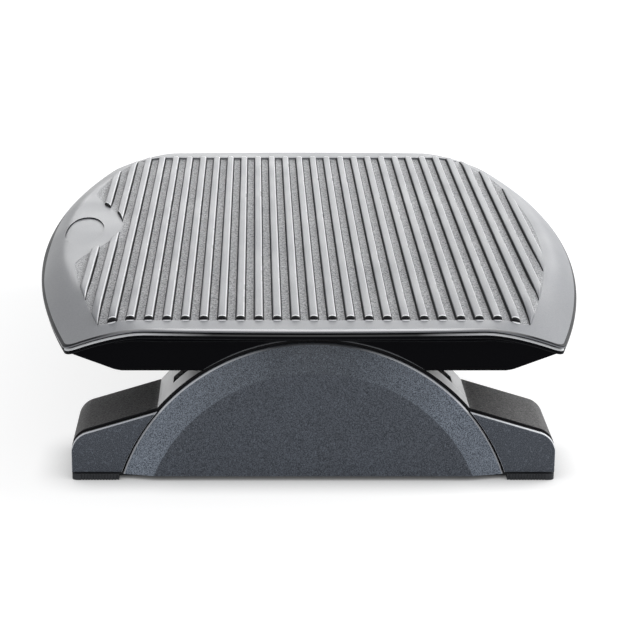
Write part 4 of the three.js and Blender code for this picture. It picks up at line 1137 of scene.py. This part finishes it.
@dataclass
class Tray:
    """The black lower half of the platform."""

    palette: Palette
    bottom: float = 62.3
    flat: float = 104.0
    foot_y: float = 212.5
    foot_round: float = 1.2
    foot_flare: float = 4.0
    head_y: float = 213.6
    head_round: float = 1.2
    head_drop: float = 3.2
    head_bend: float = 3.0
    flange_inset: Point2 = (0.8, 2.6)
    flange_drop: Point2 = (3.2, 6.6)
    flange_hidden: Point2 = (5.0, 0.2)
    flange_flat: float = 0.9
    flange_round: float = 0.6
    flange_foot: float = 0.4
    bevel: float = 3.0
    bevel_from: float = 60.0
    wall: float = 3.0
    arch_gap: float = 0.6
    arch_y: float = 152.3
    arch_room: float = 8.0
    arch_steps: int = 97
    mouth: float = 0.9
    mouth_y: Point2 = (-0.2, 0.7)
    saddle_gap: float = 4.2
    saddle_y: Point2 = (155.3, 210.4)

    def build(self) -> None:
        """Makes the shell and puts it in place of the CAD tray."""
        shell = self._shell()
        carve(shell, [tool for end in End for tool in self._arches(end)])
        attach(shell, Body.PLATFORM.value)
        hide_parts("tray")

    def _plan(self, more: float) -> Plan:
        """Outline of the flange moved in by a further distance."""
        return PLATFORM.plan(*(inset + more for inset in self.flange_inset))

    def _shell(self) -> bpy.types.Object:
        """Flange, bevelled sides, end walls and bottom as one closed mesh."""
        sketch = Sketch("tray_shell", (BLACK_SHELL, FLANGE_HIGHLIGHT, SHELL_HIGHLIGHT))
        top, low = self.flange_drop
        hidden, sunk = self.flange_hidden
        edge = [(hidden, top + sunk), (self.flange_flat, top)]
        edge += [(off, top + drop) for drop, off in quarter(self.flange_round, FOUR_STEPS)]
        edge += [(0.0, top + 2 * self.flange_round), (0.0, low - self.flange_foot),
                 (self.flange_foot, low), (self.bevel, low + 0.05)]
        sketch.loft([PLATFORM.under(row, top + sunk) for row in self._plan(hidden).sheet()],
                    closed=False)
        rings = [PLATFORM.under(self._plan(more).loop(), drop) for more, drop in edge]
        rings.append(self._tips())
        rings += [self._foot(*off) for off in quarter(self.foot_round, (0.0, 0.3, 0.7, 1.0))]
        straight = PLATFORM.corner_y - PLATFORM.corner_round

        def finish(k: int, i: int) -> Finish | None:
            """Painted highlight on the flange's edge at the two ends."""
            line = rings[k]
            near = min(abs(line[i][1]), abs(line[(i + 1) % len(line)][1]))
            return FLANGE_HIGHLIGHT if 2 <= k <= 6 and near > straight else None

        made = sketch.loft(rings, finish)
        sketch.face(made[-1])
        return sketch.build(self.palette, sharp=28)

    def _tips(self) -> list[Point3]:
        """Line where the sides' bevel and the end walls start, under the flange."""
        side = self.flange_inset[0] + self.bevel
        reach = PLATFORM.corner_x - side
        plan = Plan(Bow(PLATFORM.half_width - side, reach, self.head_y),
                    Bow(self.head_y, self.head_y, reach), self.head_round)
        points = []
        for x, y in plan.loop():
            share = max(0.0, 1 - abs(x) / reach) if abs(abs(y) - self.head_y) < 1e-3 else 0.0
            drop = self.flange_drop[1] + self.head_drop * min(1.0, self.head_bend * share)
            edge = x + math.copysign(self.bevel, x) if abs(x) > self.bevel_from else x
            points.append((x, y, PLATFORM.top(edge, y) - drop))
        return points

    def _foot(self, inset: float, rise: float) -> list[Point3]:
        """Line on the turn from the walls to the bottom, in from the walls and over it."""
        x, y = self.flat + rise * self.foot_flare, self.foot_y - inset
        plan = Plan(Bow(x, x, y), Bow(y, y, x), 0.0)
        return [(*point, self.bottom + rise) for point in plan.loop()]

    def _arches(self, end: End) -> list[bpy.types.Object]:
        """Tools for the arched cut-out of an end and the room of the saddle above it.

        Args:
            end: end that is cut.

        Returns:
            The two tools. The first one widens to the chamfer of the cut-out's mouth, which is
            painted with a highlight.
        """
        inner, outer = (self.foot_y + y for y in self.mouth_y)
        beyond = PLATFORM.half_length + TOOL_ROOM
        cuts = ((BASE.arch + self.arch_gap, BASE.pivot + self.arch_room,
                 ((self.arch_y, 0.0), (inner, 0.0), (outer, self.mouth), (beyond, self.mouth))),
                (BASE.arch + self.saddle_gap, self.bottom + self.wall,
                 tuple((y, 0.0) for y in self.saddle_y)))
        tools = []
        for radius, floor, levels in cuts:
            reach = math.acos((floor - BASE.pivot) / radius)
            sketch = Sketch("arch_tool", (BLACK_SHELL, FLANGE_HIGHLIGHT, SHELL_HIGHLIGHT))
            rings = [standing(arc(radius + flare, -reach, reach, self.arch_steps, BASE.pivot), y)
                     for y, flare in levels]
            # Painted highlight on the mouth's chamfer.
            sketch.close(sketch.loft(rings, lambda k, _: SHELL_HIGHLIGHT if k == 1 else None))
            tool = sketch.build()
            tool.data.transform(end.turn)
            tools.append(tool)
        return tools


@dataclass
class Supports:
    """The two mouldings with an arch between sloping wings."""

    palette: Palette
    edge: float = 2.2
    front_edge: float = 0.5
    slot_room: Point2 = (3.0, -9.0)
    slot_steps: int = 41
    top_shares: tuple[float, ...] = (0.2, 0.45, 0.7)

    def build(self) -> None:
        """Makes both supports in place of the CAD ones."""
        near = self._moulding()
        carve(near, [self._slot(side) for side in (-1, 1)])
        place(near, "support_shell", "support", "base_slate")

    def _moulding(self) -> bpy.types.Object:
        """Outline pulled along Y, with a rounded inner edge and a front step."""
        sketch = Sketch("support_moulding", (WING_TOP, BASE_ARCH_SHEEN, PAINTED_SHADE))
        front, back = BASE.front, BASE.back
        levels = [(self.front_edge, front), (0.0, front - self.front_edge)]
        levels += [(0.0, lerp(front, back, share)) for share in self.top_shares]
        levels += [(inset, back + off) for inset, off in quarter(self.edge, FIVE_STEPS)]
        loop = BASE.support_loop()
        arch = BASE.arch + 0.01

        def finish(k: int, i: int) -> Finish:
            """Painted shade on the step in front, the light arch with its painted sheen, and grey
            wings.
            """
            ends = (loop[i], loop[(i + 1) % len(loop)])
            reach = max(math.hypot(x, z - BASE.pivot) for x, z in ends)
            return PAINTED_SHADE if k == 0 else BASE_ARCH_SHEEN if reach < arch else WING_TOP

        rings = [standing(BASE.support_loop(inset), y) for inset, y in levels]
        # Painted shade on the front face too.
        sketch.close(sketch.loft(rings, finish), PAINTED_SHADE)
        return sketch.build(self.palette, sharp=30)

    def _slot(self, side: int) -> bpy.types.Object:
        """Tool for one of the slots that the retaining hooks reach through."""
        sketch = Sketch("slot_tool")
        outer, inner = (BASE.arch + room for room in self.slot_room)
        start, stop = BASE.slot_span
        loop = [*arc(outer, start, stop, self.slot_steps, BASE.pivot),
                *arc(inner, stop, start, self.slot_steps, BASE.pivot)]
        half = BASE.slot_width / 2
        sketch.close(sketch.loft([standing(loop, BASE.slot_y - off, side)
                                  for off in (-half, half)]))
        return sketch.build()


@dataclass
class WingCovers:
    """Front plates of the wings."""

    palette: Palette
    rounding: float = 1.1
    plug: Point2 = (3.4, 4.0)
    back_edge: float = 0.4
    shade: float = 2.3

    def build(self) -> None:
        """Makes the four plates in place of the CAD ones."""
        for sign in (-1, 1):
            place(self._plate(sign), "wing_plate", "wing_cover", "base_slate", sign)

    def _plate(self, sign: int) -> bpy.types.Object:
        """Plate with a rounded front edge and a lip that plugs into the wing."""
        sketch = Sketch("wing_plate", (BASE_SLATE, BASE_HIGHLIGHT, PAINTED_SHADE))
        back, front = BASE.plate
        plug, depth = self.plug
        levels = [(plug, BASE.front - depth), (plug, back), (self.back_edge, back),
                  (0.0, back + self.back_edge), (0.0, back + self.shade)]
        shaded = len(levels) - 1
        levels += [(inset, front - off) for inset, off in quarter(self.rounding, FIVE_STEPS)]
        rings = [standing(BASE.plate_loop(inset), y, sign) for inset, y in levels]
        crest, wall, foot = BASE.hollow_steps - 2, len(rings[0]) - 4, len(rings[0]) - 1
        crest_lit, wall_lit = range(shaded, shaded + 4), range(shaded + 1, shaded + 3)

        def finish(k: int, i: int) -> Finish:
            """Painted shade on the back, a painted highlight on the edge, further round along the
            wing's top.
            """
            if k < shaded:
                return PAINTED_SHADE
            lit = crest_lit if crest <= i < wall else wall_lit
            return BASE_HIGHLIGHT if k in lit and i < foot else BASE_SLATE

        sketch.close(sketch.loft(rings, finish))
        return sketch.build(self.palette, sharp=30)


@dataclass
class EndCaps:
    """Discs with a chamfered band that close the arches."""

    palette: Palette
    depth: float = 2.4
    back_width: float = 4.0
    steps: int = 121
    rim_edge: tuple[Point2, ...] = ((0.0, -0.8), (0.25, -0.22), (0.8, 0.14))
    band_shares: tuple[float, ...] = (0.1, 0.3, 0.5, 0.7, 0.9, 0.97)
    flat_edge: tuple[Point2, ...] = ((0.0, 0.04), (0.6, 0.0), (20.0, 0.0), (45.0, 0.0))

    def build(self) -> None:
        """Makes both caps in place of the CAD ones."""
        place(self._disc(), "cap_disc", "end_cap", "base_slate")

    def _profile(self) -> list[tuple[float, float, Finish]]:
        """Radius, y and finish from the back of the rim to the middle of the face."""
        rim, flat = BASE.cap, BASE.cap_flat
        slope = (BASE.cap_face - BASE.cap_rim) / (rim - flat)
        back = BASE.cap_rim - self.depth
        profile = [(rim - self.back_width, back, BASE_SLATE), (rim, back, BASE_SLATE)]
        # Painted highlight on the rim's rounding, then the band with its painted shade.
        profile += [(rim - off, BASE.cap_rim + out, BASE_HIGHLIGHT) for off, out in self.rim_edge]
        profile[-1] = (*profile[-1][:2], BASE_BAND)
        for share in self.band_shares:
            radius = lerp(rim, flat, share)
            profile.append((radius, BASE.cap_rim + slope * (rim - radius), BASE_BAND))
        profile[-1] = (*profile[-1][:2], BASE_SLATE)
        profile += [(flat - off, BASE.cap_face - low, BASE_SLATE) for off, low in self.flat_edge]
        return profile

    def _disc(self) -> bpy.types.Object:
        """Closed disc, cut straight just over the floor."""
        sketch = Sketch("cap_disc", (BASE_SLATE, BASE_BAND, BASE_HIGHLIGHT))
        profile = self._profile()
        rings = []
        for radius, y, _ in profile:
            reach = math.acos((BASE.cap_foot - BASE.pivot) / radius)
            rings.append(standing(arc(radius, -reach, reach, self.steps, BASE.pivot), y))
        made = sketch.loft(rings, lambda k, _: profile[k][2], closed=False)
        sketch.close(made[::-1])
        sketch.face([ring[0] for ring in made] + [ring[-1] for ring in reversed(made)])
        return sketch.build(self.palette, sharp=11)


@dataclass
class FloorPads:
    """Dark rubber under the wings."""

    palette: Palette
    wall: float = 133.0
    inner: float = 78.0
    step_x: float = 107.0
    step_y: float = 208.0
    front: float = 215.0
    back: float = 157.0
    back_corner: float = 2.0
    front_corner: float = 3.0
    top: float = 3.4
    front_plain: float = 5.0
    tooth_from: float = 1.0
    tooth: float = 1.6
    tooth_line: tuple[Point2, ...] = ((0.0, 0.0), (0.55, 0.0), (0.6, 0.7), (0.95, 0.7))

    def build(self) -> None:
        """Makes the four pads in place of the CAD ones."""
        for sign in (-1, 1):
            place(self._pad(sign), "rubber_pad", "floor_pad", "rubber", sign)

    def _outline(self) -> list[Point2]:
        """Clockwise plan outline of the right pad, with teeth along its front."""
        points = [(self.step_x, -self.front), (self.step_x, -self.step_y),
                  (self.inner, -self.step_y), (self.inner, -self.back),
                  (self.wall - self.back_corner, -self.back),
                  (self.wall, -self.back - self.back_corner)]
        turn = self.front_corner
        points += [(self.wall - turn + turn * math.cos(a), -self.front + turn - turn * math.sin(a))
                   for a in (QUARTER * i / 6 for i in range(7))]
        count = int((self.wall - self.step_x - self.front_plain) / self.tooth)
        for i in range(count, 0, -1):
            at = self.step_x + self.tooth_from + i * self.tooth
            points += [(at - self.tooth * share, -self.front + deep)
                       for share, deep in self.tooth_line]
        return points

    def _pad(self, sign: int) -> bpy.types.Object:
        """Pad with a line round its middle, for the right side or mirrored to the left."""
        sketch = Sketch("rubber_pad", (RUBBER,))
        loop = self._outline()
        sketch.close(sketch.loft([[(sign * x, y, z) for x, y in loop]
                                  for z in (0.0, self.top * 0.5, self.top)]))
        return sketch.build(self.palette, sharp=30)


@dataclass
class Fittings:
    """CAD nodes that keep their shape and only take a finish."""

    palette: Palette
    frame: dict

    def build(self) -> None:
        """Dresses the hidden fittings by the words in their names."""
        finishes = {"screw": STEEL, "glide": GLIDE, "stop": RUBBER, "hook": BLACK_SHELL,
                    "saddle": BLACK_SHELL, "spine": BASE_SLATE}
        for name, node in self.frame["nodes"].items():
            if not node.hide_render:
                word = next(word for word in finishes if word in name)
                self.palette.dress(node, finishes[word])


# Studio


@dataclass(frozen=True)
class Lamp:
    """Soft rectangular lamp, in metres and watts."""

    name: str
    place: Point3
    size: Point2
    power: float


@dataclass
class Studio:
    """Camera, lamps, world and floor."""

    camera_place: Point3 = (-31.8, -1277.3, 413.2)
    camera_tilt: float = 16.82
    focal_pixels: float = 2061.0
    image_pixels: float = 640.0
    principal: Point2 = (255.5, 320.0)
    sensor: float = 36.0
    clip: Point2 = (0.05, 100.0)
    lamps: tuple[Lamp, ...] = (Lamp("key", (1.3, 0.35, 0.85), (1.2, 1.0), 22.0),
                               Lamp("back", (0.2, 2.2, 0.65), (1.9, 0.75), 7.8),
                               Lamp("front", (-0.2, -1.5, 0.35), (1.0, 0.5), 3.0))
    lamp_aim: Point3 = (0.0, 0.0, 0.06)
    sky: Colour = (0.45, 0.455, 0.465)
    seen_sky: Colour = (1.0, 1.0, 1.0)
    floor_reach: float = 12000.0
    floor_level: float = -0.2
    floor_tone: float = 0.36
    floor_glow: float = 0.82
    # Reach of the painted contact shade on the floor, in millimetres.
    contact: float = 24.0

    def camera(self) -> None:
        """Makes the camera that matches the photograph."""
        data = bpy.data.cameras.new("camera")
        data.sensor_width = self.sensor
        data.lens = self.focal_pixels / self.image_pixels * data.sensor_width
        data.shift_x = (self.image_pixels / 2 - self.principal[0]) / self.image_pixels
        data.shift_y = (self.principal[1] - self.image_pixels / 2) / self.image_pixels
        data.clip_start, data.clip_end = self.clip
        made = add("camera", data)
        made.location = Vector(self.camera_place) * MM
        made.rotation_euler = (math.radians(90 - self.camera_tilt), 0.0, 0.0)
        bpy.context.scene.camera = made

    def build(self) -> None:
        """Makes the lamps, the world and the floor."""
        self._world()
        self._floor()
        for lamp in self.lamps:
            self._light(lamp)
        bpy.context.scene.view_settings.view_transform = "Standard"

    def _light(self, lamp: Lamp) -> None:
        """Adds a lamp that faces the footrest."""
        data = bpy.data.lights.new(lamp.name, "AREA")
        data.shape = "RECTANGLE"
        data.size, data.size_y = lamp.size
        data.energy = lamp.power
        made = add(lamp.name, data)
        made.location = lamp.place
        aim = Vector(self.lamp_aim) - Vector(lamp.place)
        made.rotation_euler = aim.to_track_quat("-Z", "Y").to_euler()

    @staticmethod
    def _seen(graph: Graph) -> bpy.types.NodeSocket:
        """1 for rays by which the background is seen directly or in a reflection."""
        path = graph.node("LightPath").outputs
        one = graph.math("MAXIMUM", path["Is Camera Ray"], path["Is Glossy Ray"])
        return graph.math("MAXIMUM", one, path["Is Transmission Ray"])

    def _world(self) -> None:
        """Pale surroundings: white where they are seen, dimmer as light."""
        world = bpy.data.worlds.new("studio")
        graph = Graph(world)
        tone = graph.blend(self._seen(graph), self.sky, self.seen_sky)
        back = graph.node("Background", Color=tone, Strength=1.0)
        graph.node("OutputWorld", Surface=back.outputs[0])
        bpy.context.scene.world = world

    def _floor(self) -> None:
        """White floor that still takes the object's shadow, with painted contact shade as its glow
        dims near the object.
        """
        sketch = Sketch("floor")
        reach = self.floor_reach
        sketch.face(sketch.ring([(x, y, self.floor_level) for x, y in (
            (-reach, -reach), (reach, -reach), (reach, reach), (-reach, reach))]))
        floor = sketch.build()
        material = bpy.data.materials.new("floor")
        graph = Graph(material)
        shaded = graph.node("BsdfDiffuse", Color=(self.floor_tone,) * 3)
        # Painted contact shade: ambient occlusion dims the floor's glow near the object.
        near = graph.node("AmbientOcclusion", {"samples": 12}, Distance=self.contact * MM)
        level = graph.math("MULTIPLY", near.outputs["AO"], self.floor_glow)
        glow = graph.node("Emission", Color=(1.0, 1.0, 1.0),
                          Strength=graph.math("MULTIPLY", self._seen(graph), level))
        both = graph.numbered("AddShader", {}, {0: shaded.outputs[0], 1: glow.outputs[0]})
        graph.node("OutputMaterial", Surface=both)
        floor.data.materials.append(material)


def main() -> None:
    """Dresses the footrest and sets the studio round it."""
    logging.basicConfig(level=logging.INFO, format="%(name)s: %(message)s")
    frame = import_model()
    studio = Studio()
    studio.camera()
    palette = Palette()
    for assembly in (Deck, Tray, Supports, WingCovers, EndCaps, FloorPads):
        assembly(palette).build()
    Fittings(palette, frame).build()
    studio.build()


if __name__ == "__main__":
    main()
